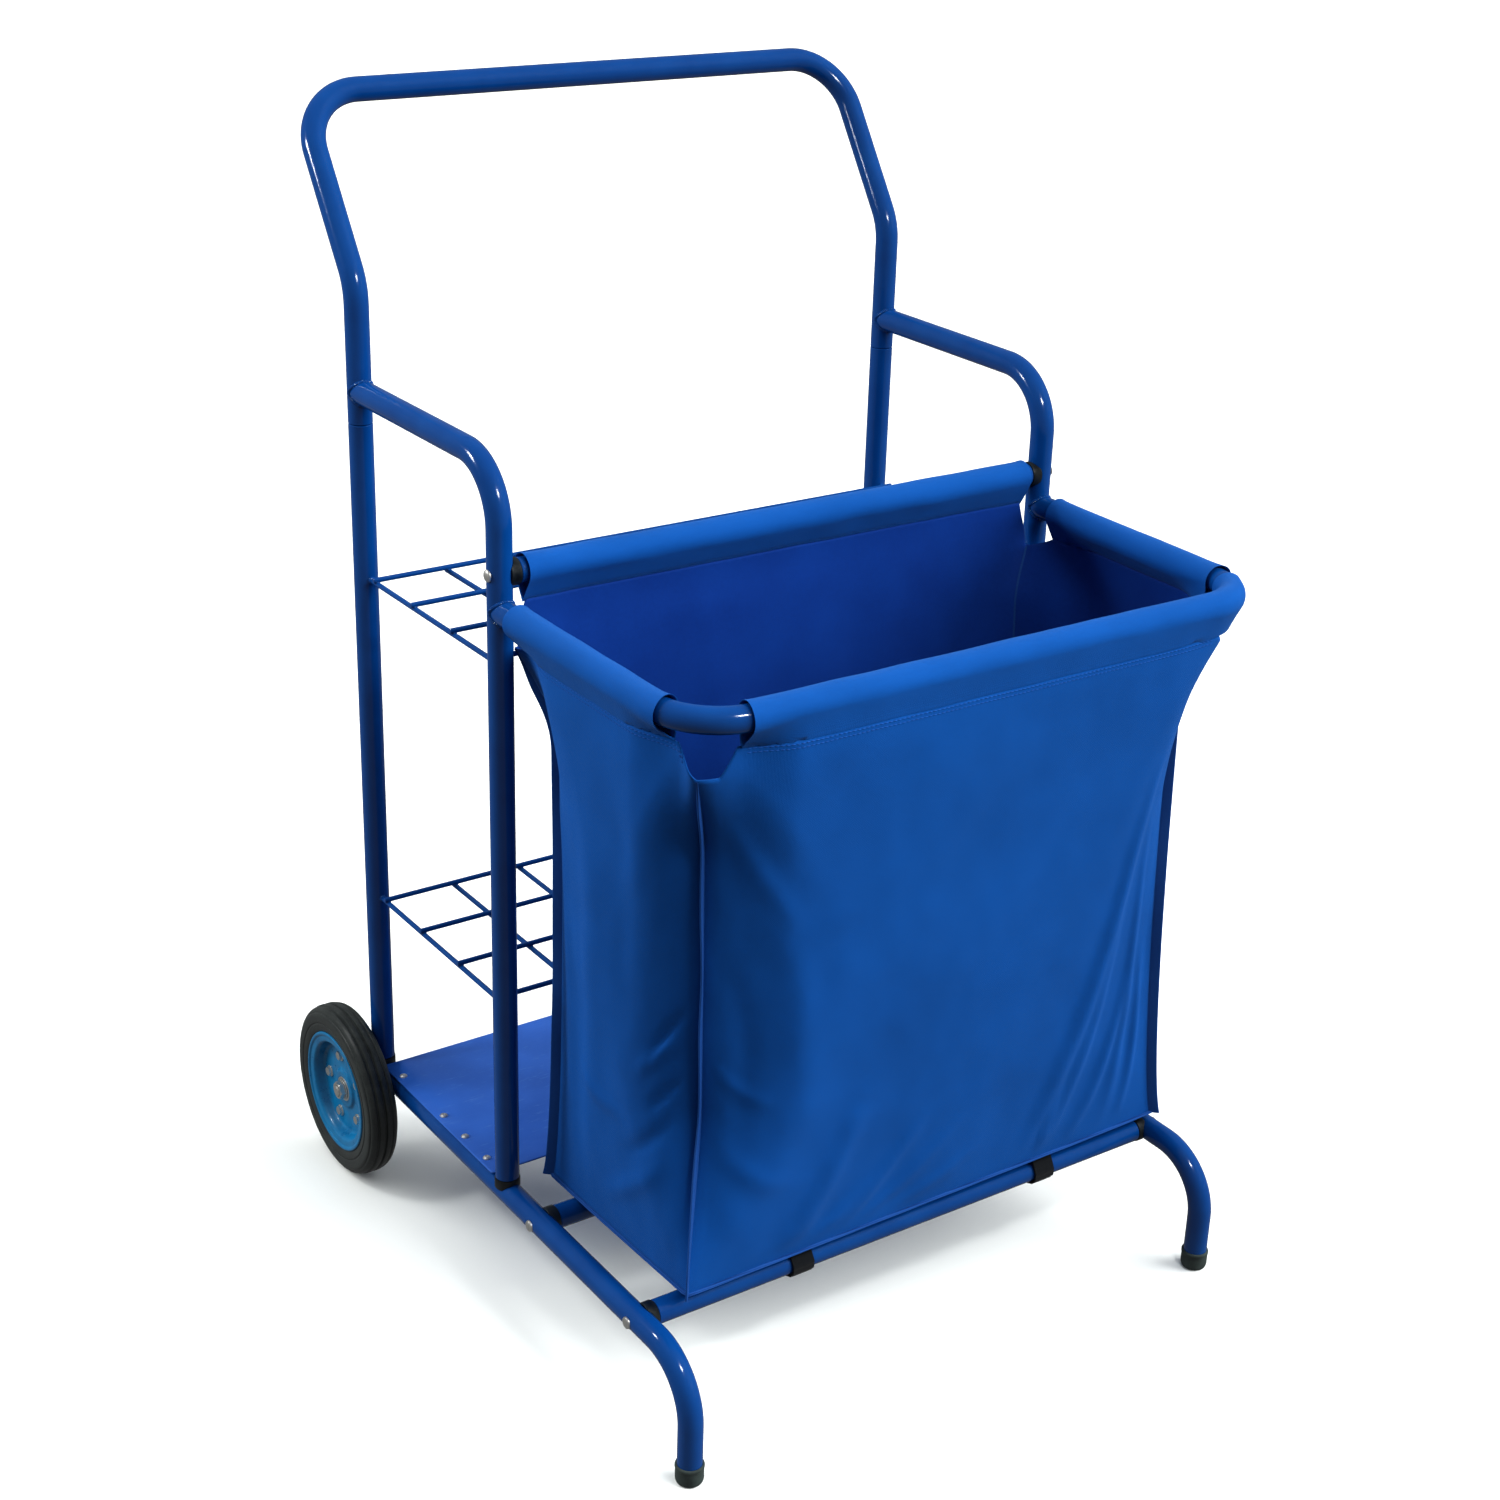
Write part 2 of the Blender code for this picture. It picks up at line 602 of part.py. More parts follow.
def axle_stack(side, sign):
    """Spacer inside the wheel, washer and nut outside it."""
    bore = AXLE_D / 2 + BORE_PLAY
    inner = HALF_TRACK + BRACKET_THICKNESS / 2 + GAP
    hub_inner = WHEEL_X - HUB_INNER
    hub_outer = WHEEL_X + HUB_OUTER

    def sleeve(name, outer_r, start, length, sides=TUBE_SIDES):
        ring = [(bore, 0), (outer_r, 0), (outer_r, length), (bore, length)]
        finish(f"{name}_{side}", turned(ring, sides, closed=True), ZINC_STEEL,
               (sign * start, AXLE_Y, AXLE_Z), along("X", sign))

    sleeve("axle_spacer", SPACER_D / 2, inner, hub_inner - GAP - inner)
    sleeve("axle_washer", WASHER_D / 2, hub_outer + GAP, WASHER_THICKNESS)
    nut_start = hub_outer + 2 * GAP + WASHER_THICKNESS
    nut_r = NUT_FLATS / 2
    shoulder = nut_r / math.cos(math.pi / 6)
    edge = (shoulder - nut_r) / 2
    ring = [(bore, 0), (shoulder, 0), (shoulder, NUT_THICKNESS - edge),
            (nut_r, NUT_THICKNESS), (bore, NUT_THICKNESS)]
    made = finish(f"axle_nut_{side}", turned(ring, TUBE_SIDES, closed=True), ZINC_STEEL,
                  (sign * nut_start, AXLE_Y, AXLE_Z), along("X", sign))
    above = 2 * NUT_THICKNESS
    hexagon = turned([(0, -GAP), (shoulder, -GAP), (shoulder, above), (0, above)], HEXAGON_SIDES)
    apply_boolean(made, cutter(hexagon, (sign * nut_start, AXLE_Y, AXLE_Z), along("X", sign)), "INTERSECT")


def tyre_profile():
    """Half of a grooved tyre's section, mirrored: (radius, offset from the wheel's middle)."""
    outer_r = WHEEL_D / 2
    half = TYRE_WIDTH / 2
    seat_r = RIM_WELL_D / 2 + GAP
    groove_r = outer_r - TREAD_GROOVE
    groove_half = TREAD_GROOVE / 2
    groove_mouth = groove_half * 1.4
    side_groove = half * 0.55
    shoulder_r = outer_r - TREAD_SHOULDER
    shoulder = half * 0.94
    wall_foot = half * 0.92
    flange = half * RIM_FLANGE_SHARE - GAP
    return [
        (groove_r, groove_half), (outer_r, groove_mouth),
        (outer_r, side_groove - groove_mouth), (groove_r, side_groove - groove_half),
        (groove_r, side_groove + groove_half), (shoulder_r, shoulder),
        (shoulder_r - TREAD_SHOULDER, half), (RIM_LIP_D / 2 + TREAD_SHOULDER, wall_foot),
        (RIM_LIP_D / 2, flange), (seat_r, flange)]


def mirrored_ring(half_profile):
    """Closed ring section from its half, which starts on the middle plane."""
    other = [(r, -h) for r, h in half_profile]
    return half_profile + other[::-1]


def rim_profile():
    """Section of one pressed rim half, from the hub's hole out to the rolled lip."""
    hole_r = HUB_WAIST_D / 2 + GAP
    well_r = RIM_WELL_D / 2
    lip_r = RIM_LIP_D / 2
    flange = TYRE_WIDTH / 2 * RIM_FLANGE_SHARE
    inside = GAP / 2
    outside = inside + RIM_SHEET
    roll_top = flange + RIM_SHEET * 1.4
    roll_foot = flange + RIM_SHEET * 0.8
    wall_foot_r = well_r - RIM_SHEET * 1.4
    dish_r = well_r - RIM_SHEET * 3
    return [
        (hole_r, inside), (well_r, inside), (well_r, flange), (lip_r, flange),
        (lip_r + RIM_SHEET / 2, flange + RIM_SHEET), (lip_r - RIM_SHEET, roll_top),
        (well_r - RIM_SHEET, roll_foot), (wall_foot_r, outside + RIM_SHEET),
        (dish_r, outside), (hole_r, outside)]


def wheel(side, sign):
    """Tyre, two rim halves bolted together and the hub sleeve, all about the axle."""
    place = (sign * WHEEL_X, AXLE_Y, AXLE_Z)
    finish(f"{side}_tyre", turned(mirrored_ring(tyre_profile()), TYRE_SIDES, closed=True),
           TYRE_RUBBER, place, along("X", sign))
    seat = GAP / 2 + RIM_SHEET
    for half, facing in (("outer", sign), ("inner", -sign)):
        made = finish(f"{side}_rim_{half}", turned(rim_profile(), RIM_SIDES, closed=True),
                      RIM_COAT, place, along("X", facing))
        heads = bmesh.new()
        sunk, top = seat - RIM_SHEET / 2, seat + BOLT_HEAD_HEIGHT
        profile = [(0, sunk), (RIM_BOLT_HEAD_D / 2, sunk), (RIM_BOLT_HEAD_D / 2, top), (0, top)]
        for k in range(RIM_BOLT_COUNT):
            angle = RIM_BOLT_FIRST + math.tau * k / RIM_BOLT_COUNT
            spot = Vector((math.cos(angle), math.sin(angle), 0)) * RIM_BOLT_CIRCLE / 2
            add_turned(heads, profile, HEXAGON_SIDES, place=Matrix.Translation(spot))
        apply_boolean(made, cutter(heads, place, along("X", facing)), "UNION")
    bore = AXLE_D / 2 + RUNNING_PLAY
    waist = HUB_WAIST_D / 2
    boss = HUB_D / 2
    seat += GAP
    ring = [
        (bore, -HUB_INNER), (boss, -HUB_INNER), (boss, -seat), (waist, -seat),
        (waist, seat), (boss, seat), (boss, HUB_OUTER), (bore, HUB_OUTER)]
    finish(f"{side}_hub_sleeve", turned(ring, TUBE_SIDES, closed=True), ZINC_STEEL, place, along("X", sign))


# Bag

BAG_FLOOR_Z = RAIL_Z + TUBE_R + 2 * GAP + STRAP_THICKNESS
SLEEVE_R = TUBE_R + GAP + SLEEVE_WALL
WALL_TOP = TUBE_R + GAP + SLEEVE_WALL * 0.2    # wall's edge below the tube that carries it
MOUTH_Z = RING_Z - WALL_TOP
BACK_TOP_Z = BACK_BAR_Z - WALL_TOP
BAG_LEVELS = (0.0, 0.05, 0.12, 0.22, 0.36, 0.52, 0.70, 0.86, 1.0)

# For each corner of the bag: its place on the floor, how far its seam is drawn in, the shares of
# the height over which that comes and goes, and where the seam starts.
BAG_CORNERS = {
    ("front", -1): (FRONT_LEFT_FLOOR, FRONT_LEFT_DRAWN, 0.20, 0.70, FRONT_LEFT_NOTCH),
    ("front", 1): (FRONT_RIGHT_FLOOR, FRONT_RIGHT_DRAWN, 0.13, 1.0, FRONT_RIGHT_NOTCH),
    ("rear", 1): (REAR_RIGHT_FLOOR, REAR_RIGHT_DRAWN, 0.14, 1.0, REAR_RIGHT_NOTCH),
    ("rear", -1): (REAR_LEFT_FLOOR, REAR_LEFT_DRAWN, 0.28, 1.0, REAR_LEFT_NOTCH),
}
CORNER_ORDER = tuple(BAG_CORNERS)

# An open corner's edge, from the seam to the sleeve: share of the way along, share of the way up.
CORNER_EDGE = ((0.0, 0.0), (0.5, 0.25), (1.0, 1.0))


def eased(value):
    """Smooth step from 0 to 1."""
    value = min(max(value, 0.0), 1.0)
    return value * value * (3 - 2 * value)


def rim_corner(corner):
    """Where the centre lines of two rims meet, in plan."""
    end, sign = corner
    return Vector((side_x(sign), FRONT_Y if end == "rear" else RING_FRONT_Y))


def corner_line(corner, depth):
    """Straight line from rim corner to floor corner, in plan, at a share of the way down."""
    return rim_corner(corner) + Vector(BAG_CORNERS[corner][0]) * depth


def seam_draw(corner, depth):
    """How far an upright seam is drawn in from that line."""
    _, drawn, rise, fall, _ = BAG_CORNERS[corner]
    fade = eased((1 - depth) / fall) if fall < 1 else (1 - depth) ** PULL_FADE
    return Vector(drawn) * eased((depth + PULL_START) / (rise + PULL_START)) * fade


def panel_columns(first, last):
    """(share of the panel's length, height of its upper edge) from one corner to before the next."""
    length = (rim_corner(last) - rim_corner(first)).length
    top = BACK_TOP_Z if first[0] == last[0] == "rear" else MOUTH_Z

    def edge(corner):
        seam_top = RING_Z - BAG_CORNERS[corner][4]
        setback = BEND_R - SLEEVE_END if corner[0] == "front" else SEAT + BACK_SLEEVE_GAP
        setback += WALL_IN_SLEEVE
        points = [(setback * along_share / length, seam_top + (top - seam_top) * up_share)
                  for along_share, up_share in CORNER_EDGE]
        return points + [(CORNER_CLEAR / length, top)]

    far_end = [(1 - share, z) for share, z in edge(last)[:0:-1]]
    return edge(first) + [(0.5, top)] + far_end


def panel_place(first, last, share, depth):
    """A point of a panel, in plan: on the straight panel, drawn in near its seams, a little crowned."""
    start, end = corner_line(first, depth), corner_line(last, depth)
    run = end - start
    outwards = Vector((run.y, -run.x)).normalized()
    reach = SEAM_REACH + SEAM_REACH_SWELL * math.sin(math.pi * depth) + SEAM_REACH_FLOOR * depth
    point = start.lerp(end, share)
    for corner, distance in ((first, share), (last, 1 - share)):
        near = max(1 - distance * run.length / reach, 0)
        point += seam_draw(corner, depth) * near ** PULL_FALL_OFF
    return point + outwards * BAG_CROWN * math.sin(math.pi * share) * math.sin(math.pi * depth)


def bag_ring_of_points(level, inset):
    """Closed outline of the bag at a share of each column's own height, shrunk by an inset."""
    line = []
    for index, first in enumerate(CORNER_ORDER):
        last = CORNER_ORDER[(index + 1) % len(CORNER_ORDER)]
        for share, top in panel_columns(first, last):
            z = top + (BAG_FLOOR_Z - top) * level
            depth = max((MOUTH_Z - z) / (MOUTH_Z - BAG_FLOOR_Z), 0)
            line.append((*panel_place(first, last, share, depth), z))
    outline = []
    for index, here in enumerate(line):
        point = Vector(here[:2])
        into = (point - Vector(line[index - 1][:2])).normalized()
        out_of = (Vector(line[(index + 1) % len(line)][:2]) - point).normalized()
        normal = Vector((into.y + out_of.y, -into.x - out_of.x)).normalized()
        mitre = max(normal.dot(Vector((into.y, -into.x))), MITRE_LIMIT)
        outline.append((*(point - normal * inset / mitre), here[2]))
    return outline


def bag():
    """Open-topped bag with a sleeve on each rim, its corners cut out round the ring's bends."""
    half_wall = BAG_WALL / 2
    shell = bmesh.new()

    def skin(inset, floor_z):
        rings = []
        for level in BAG_LEVELS:
            points = bag_ring_of_points(level, inset)
            rings.append([shell.verts.new((x, y, max(z, floor_z))) for x, y, z in points])
        count = len(rings[0])
        for upper, lower in zip(rings, rings[1:]):
            for k in range(count):
                n = (k + 1) % count
                shell.faces.new((upper[k], upper[n], lower[n], lower[k]))
        shell.faces.new(rings[-1])
        return rings[0]

    outer_rim = skin(-half_wall, BAG_FLOOR_Z)
    inner_rim = skin(half_wall, BAG_FLOOR_Z + BAG_WALL)
    for k in range(len(outer_rim)):
        n = (k + 1) % len(outer_rim)
        shell.faces.new((outer_rim[k], outer_rim[n], inner_rim[n], inner_rim[k]))
    bmesh.ops.triangulate(shell, faces=shell.faces[:])
    made = finish("bag", shell, NYLON)

    sleeves = bmesh.new()
    bend = BEND_R - SLEEVE_END
    for _, sign in SIDES:
        x = side_x(sign)
        add_sweep(sleeves, [(x, FRONT_Y - SLEEVE_REAR_GAP, RING_Z), (x, RING_FRONT_Y + bend, RING_Z)],
                  2 * SLEEVE_R, TUBE_SIDES)
    half = HALF_TRACK - bend
    add_sweep(sleeves, [(-half, RING_FRONT_Y, RING_Z), (half, RING_FRONT_Y, RING_Z)],
              2 * SLEEVE_R, TUBE_SIDES)
    half = HALF_TRACK - SEAT - BACK_SLEEVE_GAP
    add_sweep(sleeves, [(-half, FRONT_Y, BACK_BAR_Z), (half, FRONT_Y, BACK_BAR_Z)],
              2 * SLEEVE_R, TUBE_SIDES)
    apply_boolean(made, cutter(sleeves), "UNION")

    apply_boolean(made, clearance(bent_path(ring_corners())))
    half = HALF_TRACK - TUBE_R
    apply_boolean(made, clearance([(-half, FRONT_Y, BACK_BAR_Z), (half, FRONT_Y, BACK_BAR_Z)]))


def bag_strap(side, x):
    """Hook-and-loop band round the front cross bar, under the bag's floor."""
    inner = TUBE_R + GAP
    outer = inner + STRAP_THICKNESS
    half = STRAP_WIDTH / 2
    ring = [(inner, -half), (outer, -half), (outer, half), (inner, half)]
    finish(f"bag_strap_{side}", turned(ring, STRAP_SIDES, closed=True), HOOK_AND_LOOP,
           (x, FRONT_Y - FRONT_BAR_REACH, RAIL_Z), along("X"))


handle_tube()
for side_name, side_sign in SIDES:
    rear_upright(side_name, side_sign)
    side_hoop(side_name, side_sign)
    base_rail(side_name, side_sign)
    foot_cap(side_name, side_sign)
    rail_end_plug(side_name, side_sign)
    axle_bracket(side_name, side_sign)
    axle_stack(side_name, side_sign)
    wheel(side_name, side_sign)
bag_ring()
cross_bar("cross_bar_front", FRONT_Y - FRONT_BAR_REACH, RAIL_Z)
cross_bar("cross_bar_middle", FRONT_Y - MIDDLE_BAR_REACH, RAIL_Z)
cross_bar("bag_back_bar", FRONT_Y, BACK_BAR_Z)
bolted_joints()
bat_floor_plate()
wire_grid("lower_wire_grid", LOWER_GRID_Z)
wire_grid("upper_wire_guard", UPPER_GUARD_Z)
axle()
bag()
for (side_name, _), strap_x in zip(SIDES, STRAP_OFFSETS):
    bag_strap(side_name, strap_x)
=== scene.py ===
import math
from collections import namedtuple

import bmesh
import bpy
from mathutils import Matrix, Quaternion, Vector, noise


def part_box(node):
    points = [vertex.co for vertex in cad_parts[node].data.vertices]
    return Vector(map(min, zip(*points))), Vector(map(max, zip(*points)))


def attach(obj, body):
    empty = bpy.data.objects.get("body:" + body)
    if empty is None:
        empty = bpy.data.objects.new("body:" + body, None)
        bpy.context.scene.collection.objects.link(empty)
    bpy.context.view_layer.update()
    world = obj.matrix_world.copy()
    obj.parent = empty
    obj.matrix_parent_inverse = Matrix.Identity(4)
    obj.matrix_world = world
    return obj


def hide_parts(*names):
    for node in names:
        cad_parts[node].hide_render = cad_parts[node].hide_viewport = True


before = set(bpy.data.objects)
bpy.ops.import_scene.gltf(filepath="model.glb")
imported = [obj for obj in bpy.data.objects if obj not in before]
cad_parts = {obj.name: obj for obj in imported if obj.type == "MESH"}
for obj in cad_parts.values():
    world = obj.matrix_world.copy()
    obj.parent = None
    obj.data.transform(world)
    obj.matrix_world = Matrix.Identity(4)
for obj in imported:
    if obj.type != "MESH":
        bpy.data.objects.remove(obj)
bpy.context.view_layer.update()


# Base rails. Each is one length of one inch steel tube, bent down at its front end into a foot.
# The tube is blasted, sprayed with polyester powder and baked, and the coat flows out to a deep
# gloss with a slight orange peel.

TUBE_R = 0.0127
BEND_R = 0.0635
CUT_EASE = 0.0006
SIDES = (("left", -1), ("right", 1))
RAIL_HIGH = {side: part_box(f"base_rail_{side}")[1] for side, _ in SIDES}
HALF_TRACK = RAIL_HIGH["right"].x - TUBE_R
RAIL_Z = RAIL_HIGH["left"].z - TUBE_R
RAIL_END_Y = RAIL_HIGH["left"].y
FOOT_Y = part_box("base_rail_left")[0].y + TUBE_R
FOOT_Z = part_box("base_rail_left")[0].z


def srgb(hex_colour):
    """Linear RGBA of an sRGB hex colour."""
    channels = [int(hex_colour[i:i + 2], 16) / 255 for i in (1, 3, 5)]
    return (*[c / 12.92 if c <= 0.04045 else ((c + 0.055) / 1.055) ** 2.4 for c in channels], 1.0)

def add_node(finish, kind, output, inputs=None, stops=(), **settings):
    """Add one node to a finish and return one of its outputs. An input, named or numbered, is a value
    or another node's output. Stops are the places on a ramp, each with an sRGB hex colour or a grey."""
    node = finish.node_tree.nodes.new("ShaderNode" + kind)
    for name, value in settings.items():
        setattr(node, name, value)
    for name, value in (inputs or {}).items():
        if isinstance(value, bpy.types.NodeSocket):
            finish.node_tree.links.new(value, node.inputs[name])
        else:
            node.inputs[name].default_value = value
    for k, (position, shade) in enumerate(stops):
        node.color_ramp.elements[k].position = position
        node.color_ramp.elements[k].color = srgb(shade) if isinstance(shade, str) else (shade,) * 3 + (1,)
    return node.outputs[output]


def new_finish(name, **shader_values):
    """A finish with its shader's own values set, its sockets named with underscores for spaces."""
    finish = bpy.data.materials.new(name)
    finish.use_nodes = True
    for socket, value in shader_values.items():
        shader(finish).inputs[socket.replace("_", " ")].default_value = value
    return finish


def shader(finish):
    """The shader of a finish, whose sockets take its typical values and its nodes."""
    return finish.node_tree.nodes["Principled BSDF"]


def link_shader(finish, **outputs):
    """Link outputs of nodes to the shader's sockets."""
    for socket, output in outputs.items():
        finish.node_tree.links.new(output, shader(finish).inputs[socket.replace("_", " ")])


def powder_coat(name, thick, thin, roughness):
    """Baked polyester powder: an even deep colour under a clear gloss. Its orange peel of 2 to 3 mm
    wavers the edges of what it mirrors, its thickness drifts over some 45 mm, and it has a little dust."""
    coat = new_finish(name, IOR=1.5)
    where = add_node(coat, "TexCoord", "Object")
    cloud = add_node(coat, "TexNoise", "Fac", {"Vector": where, "Scale": 1 / 0.045, "Detail": 3.0})
    peel = add_node(coat, "TexNoise", "Fac", {"Vector": where, "Scale": 1 / 0.0026, "Detail": 1.0})
    dust = add_node(coat, "TexNoise", "Fac",
                    {"Vector": where, "Scale": 1 / 0.0012, "Detail": 4.0, "Roughness": 0.7})
    drift = add_node(coat, "Bump", "Normal", {"Height": cloud, "Distance": 0.0004})
    link_shader(
        coat,
        Base_Color=add_node(coat, "ValToRGB", "Color", {"Fac": cloud}, [(0.3, thin), (0.7, thick)]),
        Roughness=add_node(coat, "ValToRGB", "Color", {"Fac": dust},
                           [(0.35, roughness * 0.8), (0.75, roughness * 1.35)]),
        Normal=add_node(coat, "Bump", "Normal", {"Height": peel, "Distance": 0.00005, "Normal": drift}))
    return coat


tube_coat = powder_coat("blue powder coat on tube", "#063A74", "#08407C", 0.14)


def bent_path(corners, radius=BEND_R, step=math.radians(4)):
    """Centre line of a bent tube: straight runs between corners, each corner an arc."""
    path = [Vector(corners[0])]
    for before, corner, after in zip(corners, corners[1:], corners[2:]):
        corner = Vector(corner)
        incoming = (corner - Vector(before)).normalized()
        outgoing = (Vector(after) - corner).normalized()
        turn = incoming.angle(outgoing)
        start = corner - incoming * radius * math.tan(turn / 2)
        centre = corner + (outgoing - incoming).normalized() * radius / math.cos(turn / 2)
        axis = incoming.cross(outgoing).normalized()
        steps = max(2, math.ceil(turn / step))
        for k in range(steps + 1):
            path.append(centre + Quaternion(axis, turn * k / steps) @ (start - centre))
    path.append(Vector(corners[-1]))
    return path


def add_ring(mesh, centre, first, second, radii):
    """Closed loop of vertices round a centre, one radius for each vertex."""
    count = len(radii)
    ring = []
    for k, radius in enumerate(radii):
        angle = math.tau * k / count
        ring.append(mesh.verts.new(centre + (first * math.cos(angle) + second * math.sin(angle)) * radius))
    return ring

def join_rings(mesh, rings, closed=False, capped=False):
    """Faces between loops of vertices that follow each other, with the two ends covered if capped."""
    pairs = list(zip(rings, rings[1:]))
    if closed:
        pairs.append((rings[-1], rings[0]))
    for lower, upper in pairs:
        count = len(lower)
        for k in range(count):
            n = (k + 1) % count
            mesh.faces.new((lower[k], lower[n], upper[n], upper[k]))
    if capped:
        mesh.faces.new(rings[0][::-1])
        mesh.faces.new(rings[-1])


def add_sweep(mesh, path, radius, sides=48, edge=0.0):
    """Round bar along a path, its ends capped and their edges eased, added to a bmesh."""
    path = [Vector(point) for point in path]
    runs = [(b - a).normalized() for a, b in zip(path, path[1:])]
    if edge:
        path = [path[0], path[0] + runs[0] * edge, *path[1:-1], path[-1] - runs[-1] * edge, path[-1]]
        runs = [runs[0], *runs, runs[-1]]
    headings = [(a + b).normalized() for a, b in zip([runs[0]] + runs, runs + [runs[-1]])]
    normal = Vector((0, 0, 1)) if abs(headings[0].z) < 0.5 else Vector((1, 0, 0))
    rings = []
    for k, (point, heading) in enumerate(zip(path, headings)):
        normal = (normal - heading * normal.dot(heading)).normalized()
        here = radius - edge if k in (0, len(path) - 1) else radius
        rings.append(add_ring(mesh, point, normal, heading.cross(normal), [here] * sides))
    join_rings(mesh, rings, capped=True)


def finished(name, mesh, coat, body="frame", replaced=(), crease=35):
    """Make a piece of a bmesh: smooth but for its creases, riding on a body, standing for CAD nodes."""
    bmesh.ops.recalc_face_normals(mesh, faces=mesh.faces[:])
    data = bpy.data.meshes.new(name)
    mesh.to_mesh(data)
    mesh.free()
    data.shade_smooth()
    data.set_sharp_from_angle(angle=math.radians(crease))
    data.materials.append(coat)
    piece = bpy.data.objects.new(name, data)
    bpy.context.scene.collection.objects.link(piece)
    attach(piece, body)
    if replaced:
        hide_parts(*replaced)
    return piece


def tube_piece(name, corners, replaced, edge=CUT_EASE):
    """A bent tube of the frame as one piece."""
    mesh = bmesh.new()
    add_sweep(mesh, bent_path(corners), TUBE_R, edge=edge)
    return finished(name, mesh, tube_coat, replaced=replaced)


for side, sign in SIDES:
    x = sign * HALF_TRACK
    tube_piece(f"rail_{side}", [(x, RAIL_END_Y, RAIL_Z), (x, FOOT_Y, RAIL_Z), (x, FOOT_Y, FOOT_Z)],
               [f"base_rail_{side}"])


# Foot caps. Cups of black rubber, moulded in one piece and pushed over the feet. They have a
# rounded bottom edge, a mouth that is a little thicker, and the dull bloom of moulded rubber.

CAP_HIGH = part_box("foot_cap_left")[1]
CAP_R = CAP_HIGH.y - FOOT_Y


def turned_ring(mesh, place, radius, height, sides):
    """Loop of vertices round local Z, or the one vertex on it."""
    if radius == 0:
        return [mesh.verts.new(place @ Vector((0, 0, height)))]
    angles = [math.tau * k / sides for k in range(sides)]
    return [mesh.verts.new(place @ Vector((radius * math.cos(angle), radius * math.sin(angle), height)))
            for angle in angles]


def add_turned(mesh, profile, sides=64, place=Matrix.Identity(4), closed=False):
    """Solid turned about local Z from (radius, height) points, added to a bmesh."""
    rings = [turned_ring(mesh, place, radius, height, sides) for radius, height in profile]
    pairs = list(zip(rings, rings[1:]))
    if closed:
        pairs.append((rings[-1], rings[0]))
    for lower, upper in pairs:
        for k in range(sides):
            n = (k + 1) % sides
            corners = [lower[k % len(lower)], lower[n % len(lower)],
                       upper[n % len(upper)], upper[k % len(upper)]]
            mesh.faces.new(list(dict.fromkeys(corners)))


def rounded(profile, radius, steps=4):
    """A profile with each of its inner corners cut by an arc of up to the given radius."""
    points = [Vector(point) for point in profile]
    result = [tuple(points[0])]
    for before, corner, after in zip(points, points[1:], points[2:]):
        to_before, to_after = before - corner, after - corner
        reach = min(radius, to_before.length * 0.45, to_after.length * 0.45)
        start, end = corner + to_before.normalized() * reach, corner + to_after.normalized() * reach
        for k in range(steps + 1):
            t = k / steps
            result.append(tuple(start * (1 - t) ** 2 + corner * 2 * t * (1 - t) + end * t ** 2))
    result.append(tuple(points[-1]))
    return result


def moulded(name, light, dark, roughness, texture_size, texture_depth):
    """Moulded rubber or plastic: a fine even texture without gloss, and lighter clouds of about
    12 mm where it has bloomed or been rubbed."""
    polymer = new_finish(name, IOR=1.5)
    where = add_node(polymer, "TexCoord", "Object")
    texture = add_node(polymer, "TexNoise", "Fac",
                       {"Vector": where, "Scale": 1 / texture_size, "Detail": 2.0, "Roughness": 0.6})
    bloom = add_node(polymer, "TexNoise", "Fac",
                     {"Vector": where, "Scale": 1 / 0.012, "Detail": 4.0, "Roughness": 0.6})
    link_shader(
        polymer,
        Base_Color=add_node(polymer, "ValToRGB", "Color", {"Fac": bloom}, [(0.3, dark), (0.75, light)]),
        Roughness=add_node(polymer, "ValToRGB", "Color", {"Fac": bloom},
                           [(0.3, roughness * 0.85), (0.75, min(1.0, roughness * 1.2))]),
        Normal=add_node(polymer, "Bump", "Normal", {"Height": texture, "Distance": texture_depth}))
    return polymer


cap_rubber = moulded("black rubber, bloomed", "#414B49", "#2A3231", 0.6, 0.0007, 0.00006)
for side, sign in SIDES:
    cup = bmesh.new()
    add_turned(cup, rounded([
        (0, 0), (CAP_R - 0.0055, 0), (CAP_R - 0.0018, 0.0012), (CAP_R - 0.0005, 0.0045),
        (CAP_R - 0.0005, CAP_HIGH.z - 0.0044), (CAP_R, CAP_HIGH.z - 0.0036),
        (CAP_R, CAP_HIGH.z - 0.0014), (TUBE_R + 0.0012, CAP_HIGH.z - 0.0002),
        (TUBE_R + 0.0001, CAP_HIGH.z)], 0.0014), place=Matrix.Translation((sign * HALF_TRACK, FOOT_Y, 0)))
    finished(f"foot_cup_{side}", cup, cap_rubber, replaced=[f"foot_cap_{side}"])


# Rail end plugs. Domed polypropylene plugs with a thin rim, hammered into the open back ends of the
# rails. The mould leaves them faintly textured and half matt.

saddle_plastic = moulded("black polypropylene, moulded", "#23282B", "#0B0E10", 0.42, 0.0006, 0.00003)
backwards = Matrix.Rotation(-math.pi / 2, 4, "X")
for side, sign in SIDES:
    plug = bmesh.new()
    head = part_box(f"rail_end_plug_{side}")[1].y - RAIL_END_Y
    add_turned(plug, rounded([
        (0, -0.004), (TUBE_R - 0.0018, -0.004), (TUBE_R - 0.0018, 0.0003), (TUBE_R, 0.0003),
        (TUBE_R, head * 0.45), (TUBE_R * 0.72, head * 0.85), (TUBE_R * 0.3, head), (0, head)], 0.0012),
        place=Matrix.Translation((sign * HALF_TRACK, RAIL_END_Y, RAIL_Z)) @ backwards)
    finished(f"end_plug_{side}", plug, saddle_plastic,
             replaced=[f"rail_end_plug_{side}"])


# Uprights, side hoops and handle. The handle is one tube bent to a U, butted on the rear uprights
# over hidden spigots. Arm and front upright are one bent tube, its end coped and MIG welded to the
# handle's leg, and the bead shows through the coat as small even ripples.

